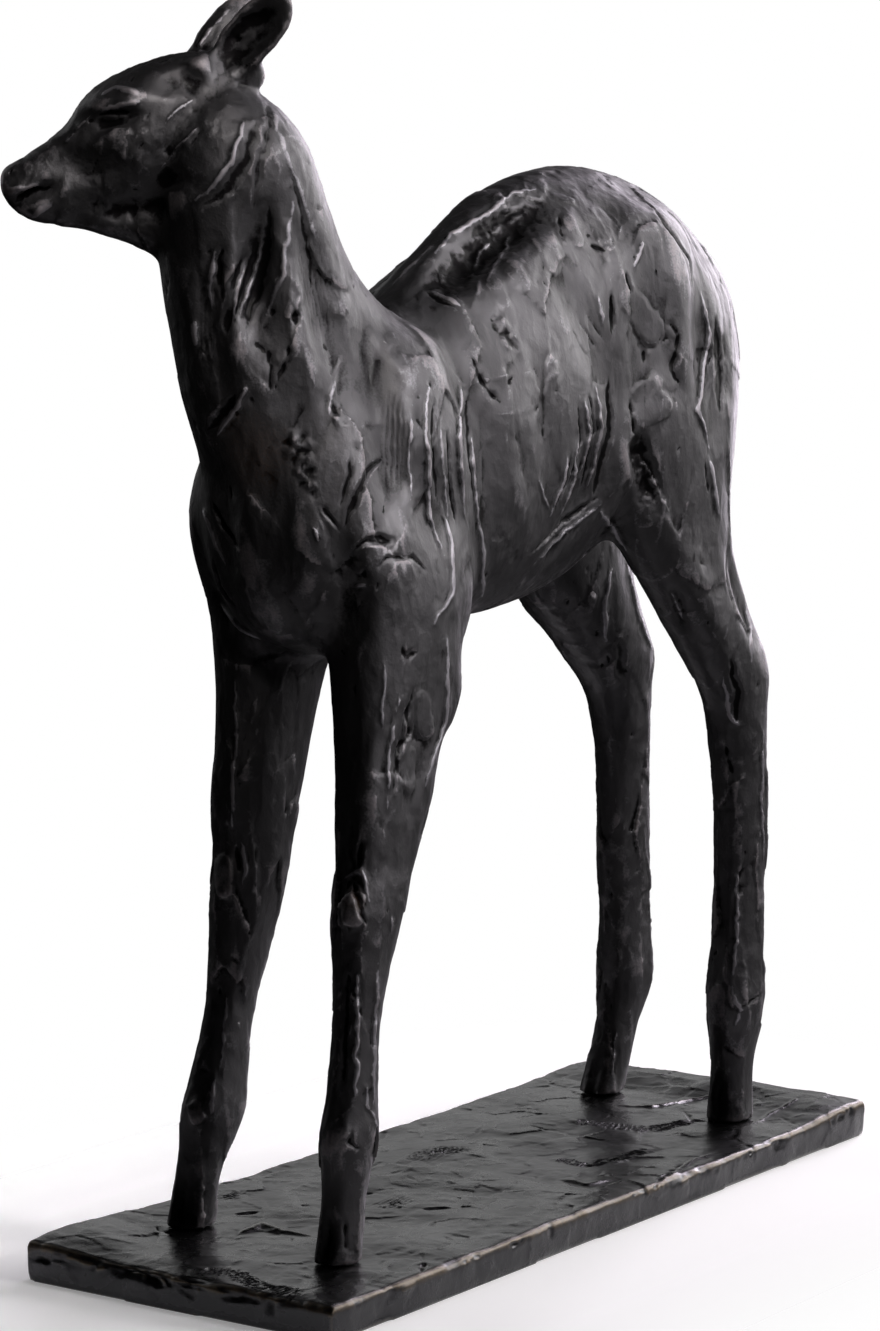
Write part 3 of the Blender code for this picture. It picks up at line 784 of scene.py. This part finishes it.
    @staticmethod
    def write(mesh: bpy.types.Mesh, name: str, values: np.ndarray) -> None:
        """Keeps one number for each vertex of the mesh."""
        mesh.attributes.new(name, "FLOAT", "POINT").data.foreach_set("value", values.astype(np.float32))

    def worked(self, points: np.ndarray) -> np.ndarray:
        """How strongly the finest touches show at each vertex."""
        return np.ones(len(points))

    def rubbed(self, points: np.ndarray, normals: np.ndarray, proud: np.ndarray) -> np.ndarray:
        """Where hands and dusters have rubbed the patina thin."""
        return np.clip(proud, 0, 1)

    def build(self) -> bpy.types.Object:
        """Makes the casting, dresses it and puts it in its solid's place.

        Returns:
            The finished piece.
        """
        skin = self.fine_skin()
        points, normals = self.arrays(skin.data)
        relief = Relief(points, normals)
        graph = bpy.context.evaluated_depsgraph_get()
        self.work(relief, BVHTree.FromObject(skin, graph))
        low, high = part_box(self.node)
        self.place(skin, np.clip(relief.result(), low, high))
        # Keeps the marks for painted shade in hollows, with pooled patina, and for painted highlights on
        # ridges.
        self.write(skin.data, "pooled_patina_and_shade", relief.restored(relief.pooled_patina_and_shade))
        self.write(skin.data, "lit", relief.restored(relief.lit))
        self.thin_out(skin)
        self.place(skin, np.clip(self.arrays(skin.data)[0], low, high))
        self.mark(skin)
        skin.data.shade_smooth()
        skin.data.materials.clear()
        skin.data.materials.append(self.patina.build())
        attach(skin, "root")
        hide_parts(self.node)
        LOG.info("%s: %d faces", skin.name, len(skin.data.polygons))
        return skin


@dataclass
class DeerCasting(Casting):
    """The figure, worked all over with the thumb and a few tools."""

    # The least and the most of a touch's length, half width and depth, then shares of the three
    thumbs: int = 330
    thumb_mm: Spans = ((18, 42), (4.5, 9.0), (0.1, 0.36))
    nicks: int = 330
    nick_mm: Spans = ((2, 8), (0.7, 1.5), (0.4, 1.1))
    ridge_share: Spot = (1.3, 0.26, 1.1)
    head_share: Spot = (0.6, 0.6, 0.4)
    leg_share: Spot = (0.6, 0.6, 0.6)
    turn_spread: float = 0.45
    leg_dabs: Dabs = Dabs(13, 4.0, 0.04, 0.06, 0.3, SEED + 5)
    trunk_dabs: Dabs = Dabs(28, 2.0, 0.03, 0.022, 0.05, SEED + 2)
    small_dabs: Dabs = Dabs(12, 3.2, 0.03, 0.016, 0.0, SEED + 3)
    waves: Waves = ((26, 34, 0.8), (7, 24, 0.2), (3.2, 9, 0.12))
    head_waves: Waves = ((9, 9, 0.35), (3.4, 3.4, 0.3))
    head_height: float = 2.1
    legs_end: tuple[float, float] = (0.20, 0.27)
    head_from: tuple[float, float] = (-0.15, 0.50)
    trunk_from: tuple[float, float] = (-0.08, 0.34)
    limb_run: Spot = (0.12, 0.0, -1.0)
    trunk_run: Spot = (-0.55, 0.0, -1.0)
    head_run: Spot = (-0.7, 0.6, -0.35)
    # Warm patches painted as a warm reflection in the rubbed brown: low on the neck, at a knee and at the
    # brow.
    painted_warm_reflections: tuple[tuple[Spot, float], ...] = (
        ((-0.206, -0.010, 0.405), 0.045),
        ((-0.176, -0.048, 0.193), 0.016),
        ((-0.205, 0.035, 0.555), 0.014),
    )

    def soften(self, skin: bpy.types.Object) -> None:
        """Rounds the solid's facets by subdivision."""
        round_off = skin.modifiers.new("round_off", "SUBSURF")
        round_off.levels = 2
        round_off.render_levels = 2

    def on_head(self, place: np.ndarray) -> bool:
        """Whether a place is on the head."""
        return place[2] > self.head_from[1] and place[0] < self.head_from[0]

    def flow(self, place: np.ndarray, outward: np.ndarray) -> np.ndarray:
        """The way that strokes run at a place: down the limbs and neck, slanting on the trunk.

        Args:
            place: A point on the skin.
            outward: The direction that the skin faces there.

        Returns:
            A direction along the skin.
        """
        way = self.limb_run
        if place[2] > self.trunk_from[1] and place[0] > self.trunk_from[0]:
            way = self.trunk_run
        if self.on_head(place):
            way = self.head_run
        down = np.array(way)
        run = down - outward * down.dot(outward)
        return run / (np.linalg.norm(run) + 1e-9)

    def work_all_over(self, relief: Relief, tree: BVHTree) -> None:
        """Lays thumb strokes and nicks all over, in the directions that the maker worked.

        Args:
            relief: The heights to work on.
            tree: The skin, ready to be searched for its nearest point.
        """
        chance = np.random.default_rng(SEED)
        count = self.thumbs + self.nicks
        for index, spot in enumerate(chance.choice(len(relief.points), count, replace=False)):
            place, outward = relief.points[spot], relief.normals[spot]
            run = self.flow(place, outward)
            turn = chance.normal(0, self.turn_spread)
            run = run * math.cos(turn) + np.cross(outward, run) * math.sin(turn)
            kind = THUMB
            sizes = np.array([chance.uniform(*span) for span in self.thumb_mm])
            if index % 3 == 1:
                kind = RIDGE
                sizes *= self.ridge_share
            if self.on_head(place):
                sizes *= self.head_share
            elif place[2] < self.legs_end[1]:
                sizes *= self.leg_share
            if index >= self.thumbs:
                kind = CRACK
                sizes = np.array([chance.uniform(*span) for span in self.nick_mm])
            length, half, depth = sizes.tolist()
            ends = [place + run * length * MM * t for t in np.linspace(-0.5, 0.5, 4)]
            path = np.array([tuple(tree.find_nearest(Vector(p))[0]) for p in ends])
            relief.work(kind, path, outward, half * MM, depth * MM)

    def work(self, relief: Relief, tree: BVHTree) -> None:
        """Works the figure: its planes and unevenness, its thumb strokes, then what the photograph shows.

        Args:
            relief: The heights to work on.
            tree: The skin, ready to be searched and hit.
        """
        on_trunk = ease(relief.points[:, 2], *self.legs_end)
        worked = self.worked(relief.points)
        trunk = relief.dabbed(self.trunk_dabs) + relief.dabbed(self.small_dabs)
        relief.heights = trunk * (worked * on_trunk) + relief.dabbed(self.leg_dabs) * (1 - on_trunk)
        relief.heights += relief.uneven(self.waves, 3.1)
        relief.heights += relief.uneven(self.head_waves, 8.3) * ((1 - worked) * self.head_height)
        self.work_all_over(relief, tree)
        self.work_strokes(relief, tree)

    def worked(self, points: np.ndarray) -> np.ndarray:
        """Full on the body, and finer on the head."""
        on_head = ease(points[:, 2], 0.50, 0.54) * ease(-points[:, 0], 0.13, 0.17)
        return 1 - 0.45 * on_head

    def rubbed(self, points: np.ndarray, normals: np.ndarray, proud: np.ndarray) -> np.ndarray:
        """Where the figure is rubbed: its proud lines. It also holds a few warm patches, the largest low on
        the neck, which are a painted warm reflection.
        """
        share = np.clip(proud - 0.6, 0, 1) * 0.5
        for place, reach in self.painted_warm_reflections:
            gap = np.linalg.norm(points - place, axis=1)
            share = np.maximum(share, (1 - ease(gap, reach * 0.1, reach)) * 0.55)
        return share


@dataclass
class SlabCasting(Casting):
    """The slab, raked and pressed on top, and scraped along its edges."""

    presses: int = 300
    dents: int = 210
    top: float = 0.0175
    waves: Waves = ((34, 34, 0.9), (12, 12, 0.25), (4, 4, 0.08))
    dabs: Dabs = Dabs(24, 1.0, 0.05, 0.012, 0.0, SEED + 4)

    def press_top(self, relief: Relief, chance: np.random.Generator) -> None:
        """Presses and scrapes the slab's top, mostly along its length.

        Args:
            relief: The heights to work on.
            chance: Draws the places and sizes.
        """
        low, high = relief.points.min(0), relief.points.max(0)
        up = np.array((0.0, 0.0, 1.0))
        for index in range(self.presses):
            x, y = chance.uniform(low[0], high[0]), chance.uniform(low[1], high[1])
            turn = chance.normal(0.2, 0.6)
            run = np.array((math.cos(turn), math.sin(turn), 0)) * chance.uniform(8, 26) * MM
            place = np.array((x, y, self.top))
            path = np.array([place - run / 2, place + run / 2])
            if index % 4 == 0:
                relief.work(GOUGE, path, up, chance.uniform(0.9, 1.8) * MM, chance.uniform(0.15, 0.5) * MM)
            else:
                relief.work(THUMB, path, up, chance.uniform(6, 13) * MM, chance.uniform(0.1, 0.3) * MM)

    def dent_edges(self, relief: Relief, chance: np.random.Generator) -> None:
        """Dents and nicks the slab's four top edges.

        Args:
            relief: The heights to work on.
            chance: Draws the places and sizes.
        """
        low, high = relief.points.min(0), relief.points.max(0)
        for _ in range(self.dents):
            side = int(chance.integers(4))
            x, y = chance.uniform(low[0], high[0]), chance.uniform(low[1], high[1])
            outward, run = np.array((0.0, 2.0 * (side % 2) - 1, 0.9)), np.array((1.0, 0.0, 0.0))
            if side < 2:
                y = (low[1], high[1])[side]
            else:
                x = (low[0], high[0])[side - 2]
                outward, run = np.array((2.0 * (side % 2) - 1, 0.0, 0.9)), np.array((0.0, 1.0, 0.0))
            run = run * chance.uniform(2, 12) * MM
            place = np.array((x, y, chance.uniform(0.012, 0.020)))
            kind = (HOLLOW, CRACK, RIDGE)[int(chance.integers(3))]
            half = chance.uniform(3.5, 8.0) if kind is HOLLOW else chance.uniform(1.0, 2.4)
            relief.work(kind, np.array([place - run, place + run]), outward / np.linalg.norm(outward),
                        half * MM, chance.uniform(0.5, 1.3) * MM)

    def work(self, relief: Relief, tree: BVHTree) -> None:
        """Works the slab's top and edges, and leaves its underside flat.

        Args:
            relief: The heights to work on.
            tree: The skin, ready to be hit.
        """
        relief.heights = relief.uneven(self.waves, 11.7) + relief.dabbed(self.dabs)
        chance = np.random.default_rng(SEED + 1)
        self.press_top(relief, chance)
        self.dent_edges(relief, chance)
        self.work_strokes(relief, tree)
        relief.heights *= ease(relief.points[:, 2], 0.0012, 0.004)

    def rubbed(self, points: np.ndarray, normals: np.ndarray, proud: np.ndarray) -> np.ndarray:
        """Where the slab is rubbed: along its top edges."""
        low, high = points.min(0), points.max(0)
        edge = np.minimum(np.minimum(points[:, 0] - low[0], high[0] - points[:, 0]),
                          np.minimum(points[:, 1] - low[1], high[1] - points[:, 1]))
        near = 1 - ease(edge, 0.001, 0.006)
        return near * np.clip(proud * 1.2, 0, 1) * ease(points[:, 2], 0.010, 0.016)


# Touches on the figure that the photograph shows, from the head down to the hind legs.
# Each row is one touch: its kind, its half width and its depth in millimetres, then its pixels.
FIGURE_TOUCHES = strokes(
    # Head: brow, lid, slit, cheek, jaw and mouth
    (RIDGE, 3.2, 1.2, (103, 96), (118, 88), (136, 92)),
    (RIDGE, 1.5, 1.1, (103, 109), (120, 105), (141, 99)),
    (GOUGE, 1.8, 1.8, (101, 115), (114, 113), (130, 111)),
    (HOLLOW, 4.5, 1.2, (96, 118), (108, 124), (124, 122)),
    (RIDGE, 1.2, 1.0, (194, 99), (178, 110), (164, 126)),
    (RIDGE, 1.2, 1.0, (198, 126), (180, 147), (157, 173)),
    (RIDGE, 2.4, 1.3, (243, 120), (240, 140), (230, 165), (214, 186), (196, 200)),
    (DRAG, 9.0, 0.22, (196, 110), (176, 135), (150, 165)),
    (DRAG, 8.0, 0.15, (60, 150), (90, 165), (130, 165)),
    (CRACK, 0.9, 0.8, (146, 138), (136, 152), (128, 170)),
    (CRACK, 0.8, 0.8, (150, 110), (145, 122)),
    (CRACK, 0.8, 0.8, (120, 140), (112, 152)),
    (CRACK, 0.8, 0.7, (98, 158), (92, 172)),
    (CRACK, 0.8, 0.8, (135, 75), (128, 84)),
    (CRUMB, 6.0, 0.7, (100, 208), (130, 216), (156, 226)),
    (RIDGE, 1.4, 0.9, (62, 146), (78, 128), (92, 116)),
    (GOUGE, 3.4, 1.2, (256, 118), (252, 145), (240, 172), (222, 194), (200, 208)),
    (HOLLOW, 7.0, 1.3, (150, 176), (180, 180), (206, 190)),
    (GOUGE, 1.7, 2.0, (14, 201), (30, 192), (50, 184)),
    (RIDGE, 2.0, 0.9, (6, 188), (27, 189), (44, 180)),
    (RIDGE, 2.6, 1.0, (17, 207), (32, 216), (50, 206)),
    (PAD, 3.4, 0.4, (62, 187), (65, 191)),
    (CRUMB, 5.0, 0.8, (92, 188), (98, 200)),
    (CRUMB, 4.5, 1.3, (146, 64), (166, 60)),
    (CRUMB, 4.0, 1.5, (236, 74), (250, 68)),
    (RIDGE, 1.6, 1.3, (199, 60), (201, 44), (214, 24), (231, 6)),
    (GOUGE, 1.6, 0.8, (196, 62), (197, 44), (208, 26)),
    (HOLLOW, 5.5, 1.8, (222, 44), (245, 24), (268, 12)),
    (CRUMB, 10.0, 0.45, (116, 150), (150, 158), (190, 150)),
    (CRUMB, 9.0, 0.5, (196, 96), (214, 110), (226, 132)),
    (CRUMB, 5.0, 0.6, (60, 200), (84, 206), (112, 212)),
    (CRUMB, 5.0, 0.35, (60, 150), (80, 134)),
    (GOUGE, 0.9, 0.7, (206, 120), (200, 132), (190, 146)),
    (HOLLOW, 4.0, 0.8, (130, 130), (150, 124)),
    # Neck: long gouges and cords, holes and cracks
    (GOUGE, 3.2, 0.9, (267, 95), (271, 126), (261, 160), (253, 210)),
    (RIDGE, 3.0, 0.6, (272, 110), (285, 150), (303, 200), (318, 250)),
    (GOUGE, 1.6, 0.7, (285, 150), (299, 205), (308, 260), (312, 300)),
    (THUMB, 9.0, 0.6, (300, 150), (322, 230), (338, 300)),
    (DRAG, 14.0, 0.22, (300, 220), (312, 290), (325, 350)),
    (DRAG, 8.0, 0.25, (205, 300), (212, 380)),
    (HOLLOW, 9.0, 2.2, (262, 236), (252, 290), (232, 336)),
    (GOUGE, 3.0, 1.2, (270, 205), (268, 240), (258, 290), (246, 330)),
    (GOUGE, 2.6, 1.1, (258, 244), (248, 282), (236, 322)),
    (GOUGE, 3.8, 1.6, (243, 256), (231, 292), (228, 334)),
    (RIDGE, 1.9, 0.8, (263, 240), (254, 280), (242, 316)),
    (RIDGE, 1.9, 0.8, (251, 250), (239, 286), (231, 324)),
    (GOUGE, 2.2, 1.4, (224, 246), (218, 276), (222, 300)),
    (RIDGE, 2.6, 1.3, (216, 250), (208, 284), (212, 310)),
    (CRACK, 2.8, 2.6, (297, 309), (297, 327)),
    (CRUMB, 4.0, 0.8, (295, 278), (301, 296)),
    (RIDGE, 3.0, 0.9, (292, 200), (289, 228), (281, 277), (268, 312), (260, 336)),
    (CRACK, 1.8, 1.4, (254, 342), (270, 354), (270, 395)),
    (CRACK, 1.8, 1.4, (289, 342), (284, 366), (274, 390)),
    (RIDGE, 2.4, 0.8, (342, 356), (330, 396), (327, 424)),
    (CRUMB, 4.5, 1.5, (333, 408), (341, 420)),
    (GOUGE, 2.4, 1.7, (383, 456), (368, 472), (356, 498), (343, 526)),
    (GOUGE, 2.0, 1.2, (352, 458), (348, 480), (340, 506)),
    (CRUMB, 8.0, 2.4, (296, 444), (304, 466)),
    (CRUMB, 4.0, 1.4, (303, 484), (311, 490)),
    (RIDGE, 3.0, 1.8, (248, 384), (236, 408), (218, 434)),
    (GOUGE, 3.0, 1.6, (236, 390), (224, 412), (208, 430)),
    (RIDGE, 3.0, 1.2, (196, 347), (194, 318)),
    # Shoulder: long ridges down the blade
    (DRAG, 8.0, 0.35, (397, 388), (393, 440), (392, 492)),
    (RIDGE, 2.0, 2.2, (428, 384), (424, 437), (429, 519), (443, 558)),
    (RIDGE, 2.2, 2.4, (457, 372), (458, 466), (464, 516)),
    (RIDGE, 1.5, 1.4, (442, 410), (441, 460), (449, 524)),
    (RIDGE, 1.5, 1.1, (412, 400), (408, 450), (412, 500)),
    (RIDGE, 1.8, 1.5, (471, 430), (474, 480), (480, 540)),
    (GOUGE, 1.8, 1.6, (448, 430), (449, 480), (456, 530)),
    (GOUGE, 2.2, 1.4, (434, 400), (432, 446), (438, 500)),
    (GOUGE, 2.0, 1.3, (466, 396), (468, 440), (474, 500)),
    (RIDGE, 2.6, 1.5, (441, 500), (450, 540), (452, 592), (434, 624)),
    (RIDGE, 2.4, 1.4, (480, 520), (482, 560), (480, 596)),
    (PAD, 9.5, 0.9, (398, 600), (402, 578)),
    (GOUGE, 1.6, 1.1, (374, 574), (388, 558), (414, 558), (426, 572)),
    (GOUGE, 2.4, 1.4, (352, 552), (366, 541), (398, 538)),
    (RIDGE, 1.6, 1.2, (350, 585), (369, 586)),
    (RIDGE, 1.4, 1.1, (313, 527), (319, 543)),
    (GOUGE, 1.8, 1.2, (320, 505), (332, 520), (340, 531)),
    (CRUMB, 5.0, 1.3, (350, 560), (364, 574)),
    (CRACK, 2.4, 1.8, (401, 645), (405, 658), (416, 652)),
    # Far shoulder and breast
    (GOUGE, 3.0, 1.8, (211, 500), (222, 524), (238, 548)),
    (RIDGE, 3.2, 1.6, (203, 508), (216, 540), (226, 566)),
    (RIDGE, 3.4, 1.8, (221, 604), (240, 626), (262, 640)),
    (GOUGE, 3.0, 1.6, (214, 560), (220, 586), (236, 606)),
    # Loin: the torn hollow beside the spine, with its sharp upper edge
    (RIDGE, 2.2, 1.4, (534, 190), (512, 194), (486, 214), (452, 234), (436, 252)),
    (RIDGE, 1.8, 1.0, (438, 240), (411, 267), (388, 291)),
    (HOLLOW, 16.0, 4.6, (524, 218), (490, 238), (464, 264), (442, 290)),
    (GOUGE, 3.6, 1.2, (528, 206), (498, 218), (470, 236)),
    (CRUMB, 11.0, 1.0, (530, 216), (500, 226), (480, 246)),
    (CRUMB, 9.0, 1.2, (470, 256), (452, 272), (440, 290)),
    (RIDGE, 1.6, 0.9, (500, 232), (482, 250), (470, 276)),
    (RIDGE, 2.0, 1.1, (516, 224), (500, 258), (484, 284)),
    (GOUGE, 2.0, 1.0, (424, 290), (440, 300), (456, 308)),
    (RIDGE, 2.6, 1.6, (432, 291), (446, 298), (460, 306)),
    # Haunch: pellets pressed on, cracks and drags
    (PAD, 4.6, 0.7, (568, 220), (578, 242)),
    (PAD, 7.0, 0.7, (598, 216), (606, 240)),
    (CRACK, 1.8, 1.6, (590, 246), (606, 250)),
    (CRACK, 1.6, 1.4, (558, 218), (562, 238)),
    (RIDGE, 1.4, 0.8, (612, 212), (621, 228), (618, 244)),
    (PAD, 6.0, 0.6, (512, 268), (522, 284)),
    (PAD, 5.0, 0.5, (494, 284), (502, 300)),
    (PAD, 2.4, 0.8, (556, 196), (571, 200)),
    (CRUMB, 3.0, 1.2, (600, 168), (611, 184)),
    (CRUMB, 6.0, 1.8, (500, 326), (510, 342)),
    (CRACK, 2.4, 1.9, (471, 357), (484, 385), (500, 402)),
    (GOUGE, 1.3, 0.7, (576, 316), (586, 334), (597, 350)),
    (GOUGE, 1.2, 0.6, (584, 308), (594, 326), (604, 342)),
    (GOUGE, 1.3, 0.6, (568, 322), (578, 342), (590, 360)),
    (GOUGE, 2.2, 1.9, (611, 294), (612, 334)),
    (GOUGE, 2.0, 1.5, (626, 272), (631, 296)),
    (RIDGE, 2.4, 1.5, (642, 240), (634, 266)),
    (RIDGE, 2.0, 1.3, (598, 294), (603, 330)),
    (CRACK, 2.2, 1.8, (670, 322), (680, 334), (673, 372), (681, 384)),
    (CRACK, 1.6, 1.4, (645, 350), (643, 362)),
    (PAD, 5.0, 0.8, (638, 392), (656, 384)),
    (PAD, 8.0, 0.9, (646, 414), (662, 406)),
    (CRACK, 2.2, 2.2, (630, 402), (638, 438)),
    (RIDGE, 3.0, 2.6, (701, 292), (707, 333), (701, 372), (696, 411), (710, 448)),
    (HOLLOW, 9.0, 1.6, (668, 330), (680, 400)),
    (HOLLOW, 8.0, 2.2, (724, 330), (728, 400)),
    (GOUGE, 5.0, 2.2, (715, 318), (720, 360), (720, 412)),
    (RIDGE, 3.0, 1.4, (667, 202), (692, 232), (714, 266)),
    (GOUGE, 2.4, 1.4, (652, 207), (674, 234), (690, 262), (693, 292)),
    (PAD, 9.0, 1.0, (630, 300), (652, 330)),
    (PAD, 8.0, 0.9, (540, 232), (552, 262)),
    (RIDGE, 3.2, 1.8, (709, 455), (714, 486), (717, 516)),
    (GOUGE, 2.0, 1.5, (706, 462), (708, 492)),
    (HOLLOW, 11.0, 4.5, (634, 436), (644, 470), (652, 506)),
    (CRUMB, 8.0, 1.5, (640, 452), (650, 490)),
    # Flank folds and the belly's edge
    (RIDGE, 2.2, 2.4, (594, 382), (600, 427), (586, 492)),
    (RIDGE, 1.8, 2.0, (584, 396), (588, 436), (574, 488)),
    (RIDGE, 1.8, 2.0, (578, 440), (572, 480), (558, 518)),
    (RIDGE, 1.6, 1.5, (567, 452), (562, 486), (548, 520)),
    (GOUGE, 1.7, 1.6, (588, 392), (594, 430), (580, 490)),
    (GOUGE, 1.7, 1.5, (578, 404), (581, 440), (566, 492)),
    (GOUGE, 1.6, 1.5, (571, 450), (566, 484), (554, 514)),
    (GOUGE, 3.4, 1.8, (607, 380), (610, 430), (594, 494)),
    (RIDGE, 2.0, 1.1, (538, 479), (544, 498), (551, 512)),
    (GOUGE, 2.4, 1.8, (597, 497), (566, 521), (528, 556)),
    (RIDGE, 2.2, 1.3, (602, 503), (570, 528), (534, 562)),
    (RIDGE, 2.4, 1.5, (599, 510), (614, 530), (629, 554)),
    (HOLLOW, 12.0, 1.6, (520, 430), (532, 500)),
    (CRUMB, 7.0, 0.9, (500, 540), (520, 560)),
    # Legs: the edges between their scraped planes
    (RIDGE, 1.5, 1.1, (357, 953), (358, 1010), (357, 1082)),
    (RIDGE, 1.4, 0.9, (377, 965), (374, 1020), (369, 1082)),
    (GOUGE, 2.0, 0.9, (348, 960), (347, 1020), (344, 1080)),
    (RIDGE, 1.6, 1.0, (227, 992), (224, 1030), (219, 1069)),
    (RIDGE, 1.8, 1.2, (738, 868), (736, 930), (732, 992)),
    (RIDGE, 2.0, 1.0, (732, 992), (740, 1009), (734, 1030)),
    (RIDGE, 1.8, 1.2, (764, 750), (767, 790), (766, 838)),
    (RIDGE, 1.8, 1.2, (644, 830), (650, 890), (650, 942)),
    (HOLLOW, 5.0, 1.0, (350, 820), (352, 860), (354, 890)),
    (RIDGE, 1.8, 1.2, (400, 690), (390, 750), (386, 810)),
    (GOUGE, 2.0, 1.0, (408, 700), (398, 756), (392, 800)),
    (RIDGE, 1.8, 1.1, (236, 660), (236, 740), (232, 830)),
    (CRACK, 1.6, 1.6, (346, 1221), (346, 1256)),
    # Fore legs
    (CRACK, 2.6, 2.4, (413, 687), (407, 711), (410, 733), (400, 748), (399, 786)),
    (PAD, 6.0, 1.2, (420, 700), (424, 728)),
    (PAD, 5.0, 1.0, (410, 756), (408, 786)),
    (RIDGE, 2.8, 1.8, (447, 638), (444, 722), (426, 786)),
    (RIDGE, 1.8, 0.9, (384, 660), (382, 730)),
    (GOUGE, 2.0, 1.8, (352, 882), (360, 908), (366, 924)),
    (PAD, 5.5, 1.6, (350, 905), (352, 917)),
    (RIDGE, 2.4, 1.3, (342, 880), (360, 868), (368, 900)),
    (RIDGE, 1.3, 1.1, (392, 912), (390, 934)),
    (GOUGE, 2.0, 1.5, (362, 840), (358, 868)),
    (RIDGE, 2.0, 1.2, (378, 962), (372, 1040), (372, 1110)),
    (RIDGE, 1.8, 1.3, (357, 960), (356, 1040), (354, 1110)),
    (HOLLOW, 3.0, 1.2, (346, 960), (344, 1040), (342, 1100)),
    (GOUGE, 1.8, 1.4, (352, 1130), (350, 1144), (360, 1150)),
    (RIDGE, 1.6, 1.1, (364, 1078), (366, 1104), (378, 1132)),
    (PAD, 7.0, 1.6, (222, 866), (224, 884)),
    (RIDGE, 2.0, 1.2, (240, 838), (246, 870), (242, 888)),
    (GOUGE, 1.8, 1.4, (236, 846), (240, 872)),
    (PAD, 4.5, 1.4, (195, 1108), (197, 1116)),
    (RIDGE, 1.8, 1.1, (214, 1080), (211, 1112)),
    # Hind legs
    (RIDGE, 4.0, 1.6, (612, 566), (604, 600), (606, 640)),
    (RIDGE, 3.0, 1.5, (626, 560), (640, 620), (652, 650)),
    (HOLLOW, 6.0, 2.0, (618, 640), (624, 680)),
    (RIDGE, 3.0, 1.9, (738, 560), (746, 620), (752, 660)),
    (GOUGE, 3.4, 1.8, (732, 660), (738, 690), (736, 720)),
    (RIDGE, 2.2, 1.3, (724, 676), (728, 712), (742, 730)),
    (CRACK, 2.2, 1.6, (726, 742), (728, 760), (734, 774)),
    (RIDGE, 2.2, 1.4, (762, 722), (760, 800), (764, 860)),
    (HOLLOW, 5.0, 1.6, (672, 590), (684, 630)),
    (RIDGE, 1.8, 1.2, (671, 592), (684, 624)),
    (PAD, 6.5, 1.4, (732, 952), (740, 1000)),
    (GOUGE, 2.0, 1.4, (735, 1010), (748, 1004), (762, 994)),
    (RIDGE, 1.8, 1.3, (768, 900), (764, 960), (766, 990)),
    (RIDGE, 1.6, 1.0, (616, 1030), (612, 1080)),
    (CRUMB, 3.0, 0.9, (742, 870), (740, 918)),
)

# Touches on the slab: rake marks, the overlap in its long edge and the torn ridge at its end
SLAB_TOUCHES = strokes(
    (RIBS, 7.0, 0.55, (578, 1122), (610, 1126), (650, 1130), (686, 1122)),
    (RIBS, 6.0, 0.5, (560, 1160), (586, 1166), (620, 1158), (648, 1150)),
    (RIBS, 7.0, 0.5, (204, 1270), (236, 1274), (268, 1290)),
    (RIBS, 8.0, 0.45, (278, 1288), (300, 1296)),
    (DRAG, 8.0, 0.4, (216, 1200), (252, 1192)),
    (DRAG, 12.0, 0.5, (400, 1166), (440, 1150), (480, 1150)),
    (DRAG, 9.0, 0.4, (380, 1210), (410, 1196)),
    (GOUGE, 2.6, 1.2, (236, 1214), (258, 1212)),
    (RIDGE, 6.0, 1.4, (238, 1234), (262, 1224), (284, 1232), (310, 1236)),
    (GOUGE, 3.0, 1.0, (424, 1210), (452, 1208)),
    (RIDGE, 3.0, 1.4, (618, 1106), (650, 1108), (700, 1098), (716, 1094)),
    (GOUGE, 2.0, 1.0, (684, 1112), (692, 1120), (712, 1122)),
    (RIDGE, 2.6, 0.7, (806, 1090), (790, 1104), (760, 1120), (744, 1128)),
    (RIDGE, 3.4, 0.8, (656, 1186), (672, 1172), (694, 1160), (720, 1152)),
    (CRACK, 2.0, 1.4, (652, 1190), (664, 1176), (682, 1164)),
    (CRACK, 2.0, 1.6, (424, 1264), (420, 1272)),
    (GOUGE, 4.0, 1.2, (560, 1180), (590, 1186), (620, 1178)),
)

# The figure's patina. Its hollow colour also serves as painted shade, its proud colour as a painted
# highlight on ridge lines, and its rubbed brown as a painted warm reflection.
BLACK_BRONZE = Patina(
    name="cast_bronze_black_patina_waxed",
    ground="3E3D3F",
    hollow="0F0E0F",
    proud="757378",
    rubbed="6A4C34",
    rough=0.44,
    rough_hollow=0.66,
    wax=0.05,
)
# The slab's patina. Its hollow colour also serves as painted shade in its cuts, and its proud colour as a
# painted highlight on its raised lines.
SLAB_BRONZE = Patina(
    name="cast_bronze_slab_patina_waxed",
    ground="333335",
    hollow="100F10",
    proud="45423F",
    rubbed="66563F",
    rough=0.15,
    rough_hollow=0.38,
    wax=0.25,
    rubbed_share=0.45,
    dab_long=1.0,
    dab_deep_mm=0.12,
    drag_deep_mm=0.12,
)


def main() -> None:
    """Builds the studio and the two castings, and notes their size."""
    camera = PhotoCamera()
    camera.build()
    Studio().build()
    deer = DeerCasting(node="deer", slot="deer_bronze", grain_mm=1.15, triangles=194000,
                       even_passes=6, patina=BLACK_BRONZE, camera=camera, strokes=FIGURE_TOUCHES)
    slab = SlabCasting(node="slab", slot="slab_bronze", grain_mm=1.15, triangles=150000,
                       even_passes=3, patina=SLAB_BRONZE, camera=camera, strokes=SLAB_TOUCHES)
    deer.build()
    slab.build()


if __name__ == "__main__":
    main()
